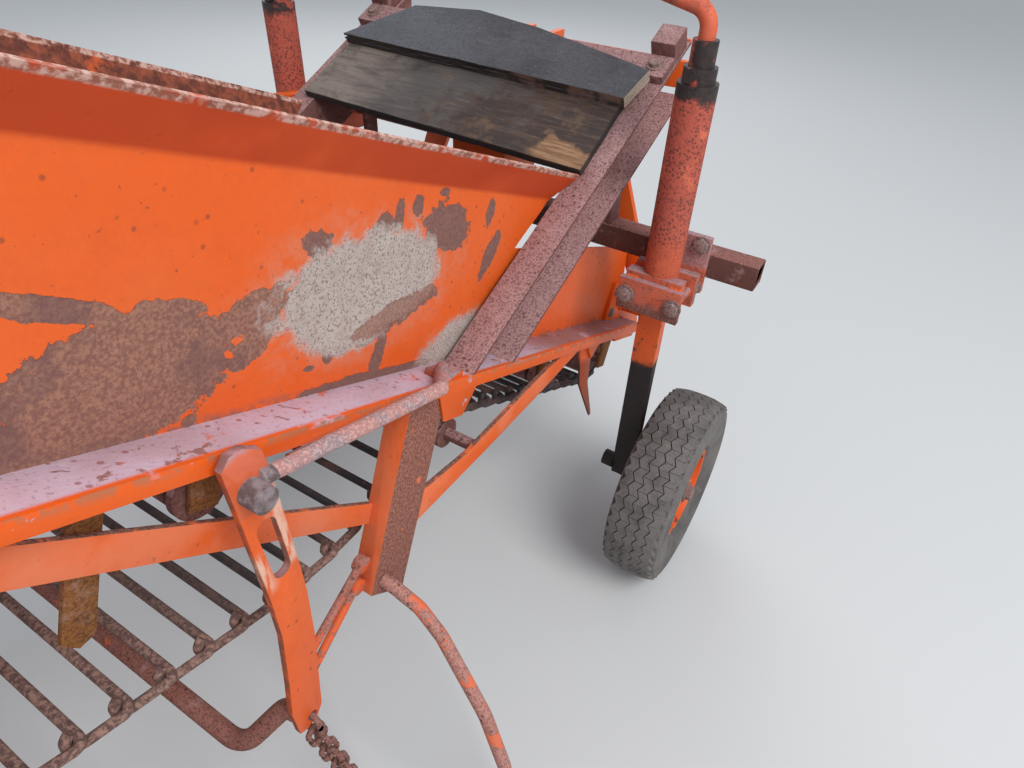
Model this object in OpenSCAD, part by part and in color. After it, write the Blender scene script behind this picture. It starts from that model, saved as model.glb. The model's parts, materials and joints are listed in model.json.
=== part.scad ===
// Three-point mounted, single-row elevator potato digger.
// X points forward, Y to the left and Z up. The ground is Z = 0 and the
// origin lies in the middle of the machine's outline on the ground.
// The slope frame follows the elevator: u runs forward and down along it,
// n stands square on it. The beam frame follows the upper main beams:
// v runs forward and up along them, w stands square on them.

/* [Elevator] */
// Angle of the elevator to the ground, degrees
slope_deg = 22.3; // [20:0.1:25]
// X of the point where the trough floor line starts
slope_x = 690; // [670:1:710]
// Height of that point
slope_z = 434; // [420:1:450]
// Inside width of the trough
trough_w = 550; // [530:2:560]
// Thickness of the side sheets
sheet_t = 4; // [3:0.5:6]
// Height of the side sheets up to the fold
sheet_h = 238; // [200:1:260]
// Slant height of the flared band above the fold
flare_h = 53; // [30:1:60]
// Angle by which the band leans outward, degrees
flare_deg = 28; // [10:1:40]
// Height of the sheets in front of the main beams
front_sheet_h = 160; // [120:1:162]
// Rear end of the trough, along the slope
trough_back = -1620; // [-1640:1:-1590]
// Front end of the trough, along the slope
trough_front = 70; // [60:1:80]

/* [Flange rails] */
// Width of the flange rail under each sheet
flange_w = 60; // [54:1:70]
// Thickness of the flange rails
flange_t = 5; // [4:0.5:7]
// Depth of the turned-down lip
lip_h = 20; // [15:1:25]
// Thickness of the lip
lip_t = 4; // [3:0.5:6]

/* [Main beams] */
// Rise of the main beams, degrees
beam_deg = 25; // [22:0.5:28]
// X of the beam foot
beam_x = 106; // [90:1:120]
// Height of the beam foot
beam_z = 690; // [680:1:700]
// Length of the main beams
beam_len = 720; // [700:1:740]
// Depth of the channel section
beam_h = 90; // [80:1:100]
// Width of the channel flanges
beam_w = 50; // [45:1:60]
// Wall of the channel section
beam_t = 6; // [5:0.5:8]
// Gap between the side sheets and the beams
beam_gap = 6; // [4:0.5:10]

/* [Deck boards] */
// Thickness of the upper board
board_t = 20; // [15:1:25]
// Thickness of the lower board
board_low_t = 14; // [10:1:16]
// Length of the lower board
board_len = 606; // [590:1:640]
// Angle by which the lower board lies askew, degrees
board_yaw = -1.5; // [-2:0.5:0]
// Place of the lower board's near edge along the beams
board_v = 371; // [368:1:375]
// Width of the lower board
board_low_w = 170; // [150:1:180]

/* [Depth wheels] */
// X of the front axle
front_axle_x = 527; // [515:1:540]
// Radius of the front tyres
front_tyre_r = 202; // [195:1:210]
// Width of the front tyres
front_tyre_w = 118; // [110:1:124]
// Distance of the front wheels from the centre plane
front_wheel_y = 532; // [528:1:545]
// Radius of the front rims
front_rim_r = 101.6; // [95:0.1:110]
// Distance of the strut tubes from the centre plane
strut_y = 432; // [428:1:436]
// Outside diameter of the strut tubes
strut_d = 62; // [60:0.5:66]
// Wall of the strut tubes
strut_wall = 4; // [3:0.5:4.5]
// Lower end of the strut tubes
strut_z0 = 604; // [600:1:610]
// Upper end of the strut tubes
strut_z1 = 990; // [985:1:1010]
// Width of the sliding legs
leg_w = 45; // [40:1:46]
// Thickness of the sliding legs
leg_t = 20; // [16:1:22]
// Diameter of the front stub axles
front_axle_d = 25; // [22:1:30]
// Side of the square cross bar
cross_bar_s = 45; // [40:1:50]
// X of the cross bar's axis
cross_bar_x = 610; // [605:1:615]
// Height of the cross bar's axis
cross_bar_z = 678; // [676:1:684]
// Half length of the cross bar
cross_bar_y = 581; // [560:1:600]

/* [Rear wheels] */
// X of the rear axle
rear_axle_x = -690; // [-695:1:-685]
// Radius of the rear tyres
rear_tyre_r = 250; // [240:1:260]
// Width of the rear tyres
rear_tyre_w = 140; // [120:1:150]
// Distance of the rear wheels from the centre plane
rear_wheel_y = 425; // [420:1:440]
// Radius of the rear rims
rear_rim_r = 127; // [120:0.5:135]
// Diameter of the rear stub axles
rear_axle_d = 30; // [25:1:35]
// Side of the square rear legs
rear_leg_s = 50; // [40:1:50]
// Height of the rear cross tube's axis
rear_tube_z = 585; // [560:1:600]

/* [Rod web] */
// Pitch that the rods aim at
rod_pitch = 50; // [44:1:54]
// Thickness of the rods
rod_d = 12; // [10:0.5:13]
// Half length of the rods
rod_half = 272; // [260:1:273]
// Level of the rods' centres under the flange rails
web_n = -39; // [-45:1:-36]
// Radius of the front nose roller
nose_r = 45; // [40:1:50]
// Radius of the drive sprockets at the rod centres
drive_r = 60; // [56:1:64]
// Place of the drive shaft along the slope
drive_u = -1589; // [-1600:1:-1580]
// Radius of the support rollers
roller_r = 27; // [25:1:32]
// Radius of the return roller
return_r = 25; // [20:1:30]

/* [Share and hitch] */
// Thickness of the share
share_t = 12; // [10:1:16]
// Front point of the share, along the slope
share_tip = 281.7; // [275:0.1:285]
// Thickness of the share cheeks
cheek_t = 10; // [8:1:12]
// X of the lower hitch pins
hitch_x = 760; // [755:1:765]
// Height of the lower hitch pins
hitch_z = 470; // [465:1:480]
// Half distance between the pin shoulders
hitch_y = 341.5; // [341.5:0.5:345]
// Diameter of the lower hitch pins
hitch_pin_d = 22; // [22:0.1:28]
// Height of the top link hole over the lower pins
mast_h = 460; // [450:1:470]
// Diameter of the top link hole
top_hole_d = 19.3; // [19:0.1:26]
// Thickness of the headstock plate
head_t = 14; // [10:1:18]
// Height of the power shaft
pto_z = 771; // [765:1:775]
// Diameter of the power shaft
pto_d = 34.8; // [30:0.1:35]

/* [Hidden] */
$fn = 48;

orange = [0.92, 0.40, 0.17];
rust = [0.55, 0.36, 0.31];
pale_rust = [0.70, 0.55, 0.55];
dark = [0.20, 0.17, 0.16];
wood = [0.38, 0.35, 0.31];
rubber = [0.35, 0.32, 0.29];

sheet_y = trough_w / 2;
flange_y = sheet_y + flange_w;
beam_y = sheet_y + sheet_t + beam_gap;
post_y = flange_y - lip_t;
run_gap = 0.3;
bore_gap = 0.05;
big = 4000;

function slope_pt(u, n) = [
  slope_x + u * cos(slope_deg) + n * sin(slope_deg),
  slope_z - u * sin(slope_deg) + n * cos(slope_deg)];
function beam_pt(v, w) = [
  beam_x + v * cos(beam_deg) - w * sin(beam_deg),
  beam_z + v * sin(beam_deg) + w * cos(beam_deg)];

module in_slope() translate([slope_x, 0, slope_z]) rotate([0, slope_deg, 0]) children();
module in_beam() translate([beam_x, 0, beam_z]) rotate([0, -beam_deg, 0]) children();
module left() mirror([0, 1, 0]) children();

// A flat plate drawn in X and Z that reaches from y0 to y1 on the right side
module side_plate(y0, y1, points) {
  translate([0, -y0, 0]) rotate([90, 0, 0]) linear_extrude(y1 - y0) polygon(points);
}

// A round bar between two points
module bar(p, q, d) {
  run = q - p;
  len = norm(run);
  translate(p)
    rotate([0, acos(run[2] / len), atan2(run[1], run[0])]) cylinder(h = len, d = d);
}

// A ball that rounds off a bend between two bars
module knee(p, d) translate(p) sphere(d = d + 0.8);

// A cylinder along Y on the right side, from y0 to y1
module pin_y(x, z, y0, y1, r) {
  translate([x, -y0, z]) rotate([90, 0, 0]) cylinder(h = y1 - y0, r = r);
}

// Everything in front of and below the rear face of the beams' upper side
module beam_shadow(gap) {
  in_beam() translate([-big / 2, -big / 2, -big]) cube([big, big, big + gap]);
}

// Everything under the flange rails' top, or under their underside
module below_slope(n) {
  in_slope() translate([-big / 2, -big / 2, n - big]) cube([big, big, big]);
}
module above_slope(n) {
  in_slope() translate([-big / 2, -big / 2, n]) cube([big, big, big]);
}

// Side sheet with its flared band
module sheet_section() {
  c = cos(flare_deg);
  s = sin(flare_deg);
  polygon([
    [-sheet_y, 0], [-sheet_y, sheet_h],
    [-sheet_y - flare_h * s, sheet_h + flare_h * c],
    [-sheet_y - flare_h * s - sheet_t * c, sheet_h + flare_h * c - sheet_t * s],
    [-sheet_y - sheet_t, sheet_h], [-sheet_y - sheet_t, 0]]);
}

module side_sheet() {
  beam_cut = 4;
  color(orange) difference() {
    in_slope() translate([trough_back, 0, 0]) rotate([90, 0, 90])
      linear_extrude(trough_front - trough_back) sheet_section();
    intersection() {
      beam_shadow(beam_cut);
      above_slope(front_sheet_h);
    }
    in_beam() translate([board_v - 10, -big / 2, 0]) cube([big, big, big]);
    translate([hitch_x - 8, -big / 2, hitch_z + 28]) cube([big, big, big]);
  }
}
module side_sheet_right() side_sheet();
module side_sheet_left() left() side_sheet();

// Flange rail: a plate under the sheet with a turned-down lip and two gussets
module flange_rail() {
  gusset_t = 6;
  tine_y = 313;
  color(pale_rust) in_slope() {
    translate([trough_back, -flange_y, -flange_t])
      cube([trough_front - trough_back, flange_w, flange_t]);
    translate([trough_back, -flange_y, -lip_h])
      cube([trough_front - trough_back, lip_t, lip_h - flange_t]);
  }
  color(orange) in_slope() {
    side_plate(post_y, flange_y, [[-722, -lip_h], [-632, -lip_h], [-652, -60], [-699, -60]]);
    side_plate(tine_y + 4, tine_y + 4 + gusset_t,
      [[-215, -flange_t], [-105, -flange_t], [-152, -57]]);
    side_plate(tine_y, tine_y + 4,
      [[-226, -flange_t], [-160, -flange_t], [-112, -119], [-30, -210], [-37, -214],
       [-160, -116]]);
  }
}
module flange_rail_right() flange_rail();
module flange_rail_left() left() flange_rail();

// Main beam: a channel open to the outside, with a hanger for the cross bar
module main_beam() {
  hang_x = [cross_bar_x - 20, cross_bar_x + 20];
  hang_t = 6;
  bar_top = cross_bar_z + cross_bar_s / 2;
  color(rust) difference() {
    in_beam() difference() {
      translate([-40, -beam_y - beam_w, -beam_h]) cube([beam_len + 80, beam_w, beam_h]);
      translate([-50, -beam_y - beam_w - 1, -beam_h + beam_t])
        cube([beam_len + 100, beam_w - beam_t + 1, beam_h - 2 * beam_t]);
    }
    below_slope(0);
    translate([beam_pt(beam_len, 0)[0], -big / 2, 0]) cube([big, big, big]);
  }
  color(orange) difference() {
    side_plate(beam_y + beam_t, beam_y + beam_t + hang_t,
      [[hang_x[0], bar_top], [hang_x[1], bar_top],
       [hang_x[1], bar_top + 200], [hang_x[0], bar_top + 200]]);
    in_beam() translate([-big / 2, -big / 2, -beam_h]) cube([big, big, big]);
  }
}
module main_beam_right() main_beam();
module main_beam_left() left() main_beam();

// Flat iron across the upper ends of the beams, with a lug at each end
module top_cross_iron() {
  back = 598;
  front = 650;
  half = 334;
  lug_in = 290;
  lug_len = 50;
  lug_h = 38;
  color(rust) in_beam() {
    translate([back, -half, run_gap]) cube([front - back, 2 * half, board_low_t]);
    for (y = [-half, lug_in])
      translate([front, y, run_gap]) cube([lug_len, half - lug_in, lug_h]);
  }
}

// Headstock: a welded plate frame with the top link ears
module headstock() {
  end = beam_pt(beam_len, 0);
  outer = beam_y + beam_w;
  foot_z = hitch_z + 30;
  foot_in = beam_y + beam_t;
  ear_in = 26;
  ear_t = 14;
  ear_len = 68;
  ear_h = 56;
  ear_z = hitch_z + mast_h;
  top = ear_z + ear_h / 2;
  bar_low = top - 60;
  color(orange) {
    translate([end[0], 0, 0]) rotate([90, 0, 90]) linear_extrude(head_t) polygon([
      [-outer, foot_z], [-foot_in, foot_z], [-115, bar_low], [115, bar_low],
      [foot_in, foot_z], [outer, foot_z], [185, bar_low + 10], [outer, bar_low + 15],
      [outer, top], [-outer, top], [-outer, bar_low + 15], [-185, bar_low + 10]]);
    difference() {
      for (y = [-ear_in - ear_t, ear_in])
        translate([end[0] + head_t, y, ear_z - ear_h / 2]) cube([ear_len, ear_t, ear_h]);
      translate([end[0] + head_t + 42, -60, ear_z]) rotate([-90, 0, 0])
        cylinder(h = 120, d = top_hole_d);
    }
  }
}

// Lower hitch: a square stub on the cheek with its pin
module lower_hitch() {
  half = 30;
  y0 = sheet_y + sheet_t + cheek_t;
  pin_end = hitch_y + 62;
  color(orange) translate([hitch_x - half, -hitch_y, hitch_z - half])
    cube([2 * half, hitch_y - y0, 2 * half]);
  color(rust) difference() {
    pin_y(hitch_x, hitch_z, hitch_y, pin_end, hitch_pin_d / 2);
    translate([hitch_x, -pin_end + 12, hitch_z - 20]) cylinder(h = 40, d = 8);
  }
}
module lower_hitch_right() lower_hitch();
module lower_hitch_left() left() lower_hitch();

// Deck boards, laid loosely on the beams: the upper one rests on the lower one
module deck_board_upper() {
  color(dark) in_beam() translate([0, 0, board_low_t + 2 * run_gap]) linear_extrude(board_t)
    polygon([[512, -307], [586, -318], [639, -79], [658, 64], [640, 207], [525, 307]]);
}
module deck_board_lower() {
  color(wood) in_beam() translate([board_v, 0, run_gap]) rotate([0, 0, board_yaw])
    translate([0, -board_len / 2, 0]) cube([board_low_w, board_len, board_low_t]);
}

// Square bar across the machine that carries both depth wheel struts
module strut_cross_bar() {
  wall = 5;
  s = cross_bar_s;
  color(rust) translate([cross_bar_x - s / 2, -cross_bar_y, cross_bar_z - s / 2]) difference() {
    cube([s, 2 * cross_bar_y, s]);
    for (y = [-1, 2 * cross_bar_y - 40])
      translate([wall, y, wall]) cube([s - 2 * wall, 41, s - 2 * wall]);
  }
}

// Strut clamp: a saddle around the tube, bolted to a plate on the bar
module strut_clamp() {
  r = strut_d / 2;
  y0 = strut_y - 58;
  y1 = strut_y + 56;
  z0 = strut_z0 + 2;
  z1 = strut_z0 + 63;
  back_t = 12;
  back_x = front_axle_x - r - back_t;
  front_x = front_axle_x + r;
  bar_back = cross_bar_x - cross_bar_s / 2;
  plate_t = 12.5;
  front_t = bar_back - plate_t - front_x;
  plate_y0 = strut_y - 37;
  plate_y1 = strut_y + 62;
  plate_z0 = 629;
  plate_z1 = 734;
  bolt_d = 14;
  bolt_z = (z0 + z1) / 2;
  color(orange) {
    difference() {
      union() {
        translate([back_x, -y1, z0]) cube([back_t, y1 - y0, z1 - z0]);
        translate([back_x + back_t, -y1 + 6, z0 + 6]) cube([22, y1 - y0 - 12, z1 - z0 + 4]);
      }
      translate([front_axle_x, -strut_y, 0]) cylinder(h = big, r = r);
    }
    translate([front_x, -y1, z0]) cube([front_t, y1 - y0, z1 - z0]);
    translate([bar_back - plate_t, -plate_y1, plate_z0])
      cube([plate_t, plate_y1 - plate_y0, plate_z1 - plate_z0]);
  }
  color(rust) {
    for (y = [strut_y - 44, strut_y + 44])
      translate([back_x - 9, -y, bolt_z]) rotate([0, 90, 0]) {
        cylinder(h = front_x + 5 - back_x + 9, d = bolt_d);
        cylinder(h = 9, r = 13, $fn = 6);
      }
    for (z = [plate_z0 + 11, plate_z1 - 14])
      translate([bar_back - plate_t - 9, -strut_y - 47, z]) rotate([0, 90, 0])
        cylinder(h = 9, r = 13, $fn = 6);
  }
}
module strut_clamp_right() strut_clamp();
module strut_clamp_left() left() strut_clamp();

// Strut tube with its greasy screw collar
module strut_tube() {
  collar_h = 58;
  color(rust) translate([front_axle_x, -strut_y, 0]) difference() {
    translate([0, 0, strut_z0]) cylinder(h = strut_z1 - strut_z0, d = strut_d);
    translate([0, 0, strut_z0 - 1])
      cylinder(h = strut_z1 - strut_z0 - 3, d = strut_d - 2 * strut_wall);
  }
  color(dark) translate([front_axle_x, -strut_y, strut_z1]) {
    cylinder(h = 22, d = 50);
    translate([0, 0, 22]) cylinder(h = collar_h - 22, d = 38);
    translate([-30, 6, 4]) rotate([0, 90, 0]) translate([-9, 0, 0]) cylinder(h = 34, d = 20);
  }
}
module strut_tube_right() strut_tube();
module strut_tube_left() left() strut_tube();

// Crank that turns the depth screw
module crank() {
  d = 25;
  z0 = strut_z1 + 58;
  a = [front_axle_x, -strut_y, z0];
  b = [front_axle_x, -strut_y, z0 + 36];
  c = [front_axle_x - 6, -strut_y + 112, z0 + 62];
  e = [front_axle_x - 6, -strut_y + 118, z0 + 150];
  color(orange) {
    bar(a, b, d);
    knee(b, d);
    bar(b, c, d);
    knee(c, d);
    bar(c, e, d);
  }
}
module crank_right() crank();
module crank_left() left() crank();

// Sliding leg with its guide rings, stub axle and inner nut
module depth_leg() {
  y = strut_y;
  head_z = [strut_z0 + 6, strut_z0 + 176];
  ring_h = 20;
  ring_r = strut_d / 2 - strut_wall - run_gap;
  low_z = 480;
  thick_t = 24;
  top_z = strut_z0 + 196;
  axle_z = front_tyre_r;
  axle_end = front_wheel_y + 48;
  color(dark) {
    translate([front_axle_x - leg_t / 2, -y - leg_w / 2, axle_z - 24])
      cube([leg_t, leg_w, low_z - axle_z + 24]);
    pin_y(front_axle_x, axle_z, y + leg_w / 2, axle_end, front_axle_d / 2);
    pin_y(front_axle_x, axle_z, y + leg_w / 2, y + leg_w / 2 + 12, 22);
    pin_y(front_axle_x, axle_z, y - leg_w / 2 - 24, y - leg_w / 2, 17);
  }
  color(orange) {
    translate([front_axle_x - thick_t / 2, -y - leg_w / 2, low_z])
      cube([thick_t, leg_w, top_z - low_z]);
    for (z = head_z) translate([front_axle_x, -y, z]) cylinder(h = ring_h, r = ring_r);
  }
}
module depth_leg_right() depth_leg();
module depth_leg_left() left() depth_leg();

// Tyre section with a rounded crown: half width, outer and bead radius
module tyre(r, width, bead) {
  half = width / 2;
  shoulder = 16;
  crown = 6;
  rotate([90, 0, 0]) rotate_extrude($fn = 64) polygon([
    [bead, -half * 0.72], [bead + 12, -half * 0.80], [(r + bead) / 2, -half],
    [r - shoulder - crown, -half * 0.95], [r - crown, -half * 0.80], [r, -half * 0.40],
    [r, half * 0.40], [r - crown, half * 0.80], [r - shoulder - crown, half * 0.95],
    [(r + bead) / 2, half], [bead + 12, half * 0.80], [bead, half * 0.72]]);
}

// Pressed rim with a barrel, a disc and a hub
module rim(r, width, axle_d, disc_y) {
  half = width * 0.36;
  lip = 3;
  hub_r = axle_d / 2 + 16;
  difference() {
    rotate([90, 0, 0]) rotate_extrude($fn = 64) polygon([
      [axle_d / 2 + bore_gap, -half], [hub_r, -half], [hub_r, disc_y - 6],
      [r - 12, disc_y - 6], [r - 12, -half], [r, -half], [r, half], [r - 12, half],
      [r - 12, disc_y + 2], [hub_r, disc_y + 2], [hub_r, half],
      [axle_d / 2 + bore_gap, half]]);
    for (a = [0 : 90 : 270])
      rotate([90, a, 0]) translate([(r + hub_r) / 2 - 6, 0, -disc_y - 10])
        cylinder(h = 2 * disc_y + 24, d = 14);
  }
}

module front_tyre() {
  color(rubber) translate([front_axle_x, -front_wheel_y, front_tyre_r])
    tyre(front_tyre_r, front_tyre_w, front_rim_r);
}
module front_tyre_right() front_tyre();
module front_tyre_left() left() front_tyre();
module front_rim() {
  color(orange) translate([front_axle_x, -front_wheel_y, front_tyre_r])
    rim(front_rim_r, front_tyre_w, front_axle_d, 4);
}
module front_rim_right() front_rim();
module front_rim_left() left() front_rim();

// Post: an angle iron square under the flange rail
post_back = -779;
post_front = -703;
module post() {
  t = 6;
  side_w = 35;
  heel = -304;
  toe = -329;
  color(orange) in_slope() {
    side_plate(post_y - t, post_y, [[post_back, -flange_t], [post_front, -flange_t],
      [post_front, toe], [post_back, heel]]);
    translate([post_back, -post_y + t, heel]) cube([t, side_w - t, -flange_t - heel]);
  }
}
module post_right() post();
module post_left() left() post();

// Lower bars: the brace behind the post and the bent rail in front of it
bar_t = 8;
module lower_bars() {
  t = bar_t;
  brace_y = post_y - 35;
  color(orange) in_slope() {
    side_plate(brace_y, brace_y + t,
      [[post_back, -171], [-1350, -flange_t], [-1450, -flange_t], [-1450, -19],
       [post_back, -203]]);
    side_plate(post_y - t, post_y,
      [[-286, -flange_t], [-222, -flange_t], [-375, -77], [-540, -148], [post_front, -214],
       [post_front, -164], [-600, -136], [-400, -45]]);
  }
}
module lower_bars_right() lower_bars();
module lower_bars_left() left() lower_bars();

// Side rod: bent out and down from the post's foot
module side_rod() {
  d = 20;
  foot = slope_pt(-758, -286);
  stub = 12;
  pts = [[foot[0], -post_y - run_gap - stub, foot[1]], [-112, -386, 425], [-116, -425, 396],
    [-134, -511, 300], [-139, -550, 200], [-142, -572, 90]];
  color(rust) {
    pin_y(foot[0], foot[1], post_y + run_gap, post_y + run_gap + stub, d / 2);
    for (i = [0 : len(pts) - 2]) {
      bar(pts[i], pts[i + 1], d);
      knee(pts[i], d);
    }
  }
}
module side_rod_right() side_rod();
module side_rod_left() left() side_rod();

// Eye at the foot of the hanger lever, in X and Z
lever_eye = [-290, 388];
lever_t = 9;

// Hanger lever: slotted plate held off the flange rail's lip, with boss and rod
module hanger_lever() {
  y0 = flange_y + 9;
  y1 = y0 + lever_t;
  boss = [-290, 798];
  boss_r = 14;
  rod_thick = 18;
  rod_y = y0 + 8;
  start = [boss[0] + 12, -y1, boss[1] + 6];
  mid_p = slope_pt(-765, 12);
  end_p = slope_pt(-702, 12);
  color(orange) {
    difference() {
      side_plate(y0, y1, [
        [-311, 836], [-300, 847], [-286, 846], [-268, 832], [-265, 810], [-261, 745],
        [-257, 651], [-256, 608], [-259, 533], [-273, 392], [-282, 378], [-301, 372],
        [-312, 378], [-315, 428], [-308, 482], [-299, 575], [-300, 640], [-304, 710],
        [-307, 773]]);
      side_plate(y0 - 1, y1 + 1, [[-295, 740], [-271, 740], [-267, 673], [-289, 673]]);
      pin_y(lever_eye[0], lever_eye[1], y0 - 1, y1 + 1, 7.5);
      pin_y(-283, 740, y0 - 1, y1 + 1, 12);
      pin_y(-278, 673, y0 - 1, y1 + 1, 11);
    }
    in_slope() translate([-1062, -y0 - 1, -20]) cube([28, 10 - run_gap, 20]);
  }
  color(rust) {
    pin_y(boss[0], boss[1], y1, y1 + 22, boss_r);
    difference() {
      bar(start, [mid_p[0], -rod_y - 6, mid_p[1]], rod_thick);
      side_plate(y0 - 1, y1, [[-340, 700], [-240, 700], [-240, 860], [-340, 860]]);
    }
    knee([mid_p[0], -rod_y - 6, mid_p[1]], rod_thick);
    bar([mid_p[0], -rod_y - 6, mid_p[1]], [end_p[0], -flange_y + 20, end_p[1]], rod_thick);
    in_slope() translate([-716, -flange_y + 4, 0]) cube([44, 32, 9]);
  }
}
module hanger_lever_right() hanger_lever();
module hanger_lever_left() left() hanger_lever();

// Links from the post's rear face to the lever
module lever_links() {
  eye_r = 12;
  rod = 11;
  rear = post_back - eye_r - run_gap;
  y_post = [post_y - 25, post_y - 13];
  y_lever = [flange_y - 3, flange_y + 9];
  color(rust) for (p = [[slope_pt(rear, -255), [-273, 470]], [slope_pt(rear, -291), [-279, 430]]]) {
    a = p[0];
    b = p[1];
    bar([a[0], -(y_post[0] + y_post[1]) / 2, a[1]], [b[0], -(y_lever[0] + y_lever[1]) / 2, b[1]], rod);
    pin_y(a[0], a[1], y_post[0], y_post[1], eye_r);
    pin_y(b[0], b[1], y_lever[0], y_lever[1], eye_r);
  }
}
module lever_links_right() lever_links();
module lever_links_left() left() lever_links();

// Hoop bar under the web, bent up to both levers
module hoop_bar() {
  d = 26;
  x = -353;
  z = 338;
  y = 285;
  lever_in = flange_y + 9;
  end_x = -303;
  end_z = 409;
  end_y = lever_in - 16;
  color(rust) {
    bar([x, -y, z], [x, y, z], d);
    for (s = [-1, 1]) {
      knee([x, s * y, z], d);
      bar([x, s * y, z], [end_x, s * end_y, end_z], d);
      knee([end_x, s * end_y, end_z], d);
      translate([end_x, s * end_y, end_z]) rotate([-90 * s, 0, 0])
        cylinder(h = lever_in - end_y, d = d - 2);
    }
  }
}

// Short chain under the right lever
module chain_link(len, width, d) {
  rotate([90, 0, 0]) translate([0, 0, -d / 2]) linear_extrude(d) difference() {
    union() {
      for (z = [-1, 1]) translate([0, z * (len - width) / 2]) circle(d = width, $fn = 24);
      square([width, len - width], center = true);
    }
    union() {
      for (z = [-1, 1])
        translate([0, z * (len - width) / 2]) circle(d = width - 2 * d, $fn = 24);
      square([width - 2 * d, len - width], center = true);
    }
  }
}
module hang_chain() {
  len = 52;
  width = 30;
  d = 8;
  shackle_len = 56;
  shackle_w = 36;
  shackle_d = 9;
  reach = len - 2 * d - 2.9;
  links = 8;
  hang = 10.4;
  shackle_drop = 23.4;
  lean = 10;
  y = flange_y + 9 + lever_t / 2;
  shackle_z = lever_eye[1] - shackle_drop;
  pivot_z = shackle_z - shackle_len / 2 + shackle_d / 2;
  color(rust) {
    translate([lever_eye[0], -y, shackle_z]) rotate([0, 0, 90])
      chain_link(shackle_len, shackle_w, shackle_d);
    translate([lever_eye[0], -y, pivot_z]) rotate([0, -lean, 0])
      for (i = [0 : links - 1])
        translate([0, 0, -hang - i * reach]) rotate([0, 0, 90 * (i % 2)]) chain_link(len, width, d);
  }
}

// Route of the rod web in X and Z: sprocket wrap, upper run, nose, return run
drive_n = web_n - drive_r;
nose_path = nose_r + 13.5;
drive_c = slope_pt(drive_u, drive_n);
nose_c = slope_pt(20, web_n - nose_path);
function around(c, r, a) = [c[0] + r * cos(a), c[1] + r * sin(a)];
up_ang = 90 - slope_deg;
nose_stop = -100;
drive_start = 216;
nose_arc = [for (k = [0 : 8]) around(nose_c, nose_path, up_ang + (nose_stop - up_ang) * k / 8)];
drive_arc = [for (k = [0 : 12])
  around(drive_c, drive_r, drive_start + (up_ang - drive_start) * k / 12)];
// Points of the slack return run, from the nose back to the drive shaft: x, z
return_crest = [120, 550];
return_pts = [[560, 333], [400, 413], [250, 493], return_crest, [20, 527], [-90, 497],
  [-160, 490], [-240, 500], [-300, 513], [-390, 533], [-506, 560], [-590, 594], [-660, 644], [-730, 714], [-790, 802]];
function spline(a, b, c, d, t) = 0.5 * (2 * b + (c - a) * t
  + (2 * a - 5 * b + 4 * c - d) * t * t + (3 * b - a - 3 * c + d) * t * t * t);
knots = concat([nose_arc[7], nose_arc[8]], return_pts, [drive_arc[0], drive_arc[1]]);
return_run = [for (i = [1 : len(knots) - 3]) for (k = [1 : 4])
  spline(knots[i - 1], knots[i], knots[i + 1], knots[i + 2], k / 4)];
route = concat([drive_arc[12]], nose_arc, return_run,
  [for (k = [1 : 12]) drive_arc[k]]);
function along(pts, i = 0, d = 0, out = []) = i >= len(pts) ? out :
  along(pts, i + 1, i + 1 < len(pts) ? d + norm(pts[i + 1] - pts[i]) : d,
    concat(out, [[d, pts[i][0], pts[i][1]]]));
marks = along(route);
route_len = marks[len(marks) - 1][0];
table_x = [for (m = marks) [m[0], m[1]]];
table_z = [for (m = marks) [m[0], m[2]]];
rods = round(route_len / rod_pitch);
pitch = route_len / rods;
function rod_pos(i) = let (d = (i % rods) * pitch) [lookup(d, table_x), lookup(d, table_z)];

// One rod with its two cranked hooks that catch the next rod
module web_rod() {
  w = rod_d / 2;
  tip = pitch + 9;
  h = rod_half;
  translate([0, 0, -w]) linear_extrude(rod_d) polygon([
    [-w, -h], [w, -h], [tip, 8 - h], [tip, 24 - h], [w, 14 - h],
    [w, h - 14], [tip, h - 24], [tip, h - 8], [w, h], [-w, h]]);
}
module rod_web() {
  color(dark) for (i = [0 : rods - 1]) {
    a = rod_pos(i);
    b = rod_pos(i + 1);
    translate([a[0], 0, a[1]]) rotate([0, -atan2(b[1] - a[1], b[0] - a[0]), 0]) web_rod();
  }
}

// Rollers that carry the web: nose, four support rollers and a return roller
roller_u = [-300, -660, -1037, -1388];
roller_n = web_n - rod_d / 2 - run_gap - roller_r;
return_c = return_crest - [0, rod_d / 2 + 7 + return_r];
module web_rollers() {
  half = rod_half - 8;
  cap = 9;
  return_shaft_r = 10;
  shaft_end = post_y - bar_t - run_gap;
  color(rust) {
    for (u = roller_u) {
      p = slope_pt(u, roller_n);
      pin_y(p[0], p[1], -half, half, roller_r);
      for (s = [-1, 1]) {
        translate([p[0], s * (half + 10), p[1]]) rotate([-90 * s, 0, 0])
          cylinder(h = cap, r = roller_r + 4);
        translate([p[0], s * half, p[1]]) rotate([-90 * s, 0, 0]) cylinder(h = 12, r = 12);
      }
    }
    pin_y(nose_c[0], nose_c[1], -half, half, nose_r);
    pin_y(nose_c[0], nose_c[1], -beam_y, beam_y, 12);
    pin_y(return_c[0], return_c[1], -half, half, return_r);
    pin_y(return_c[0], return_c[1], -shaft_end, shaft_end, return_shaft_r);
  }
}

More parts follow.
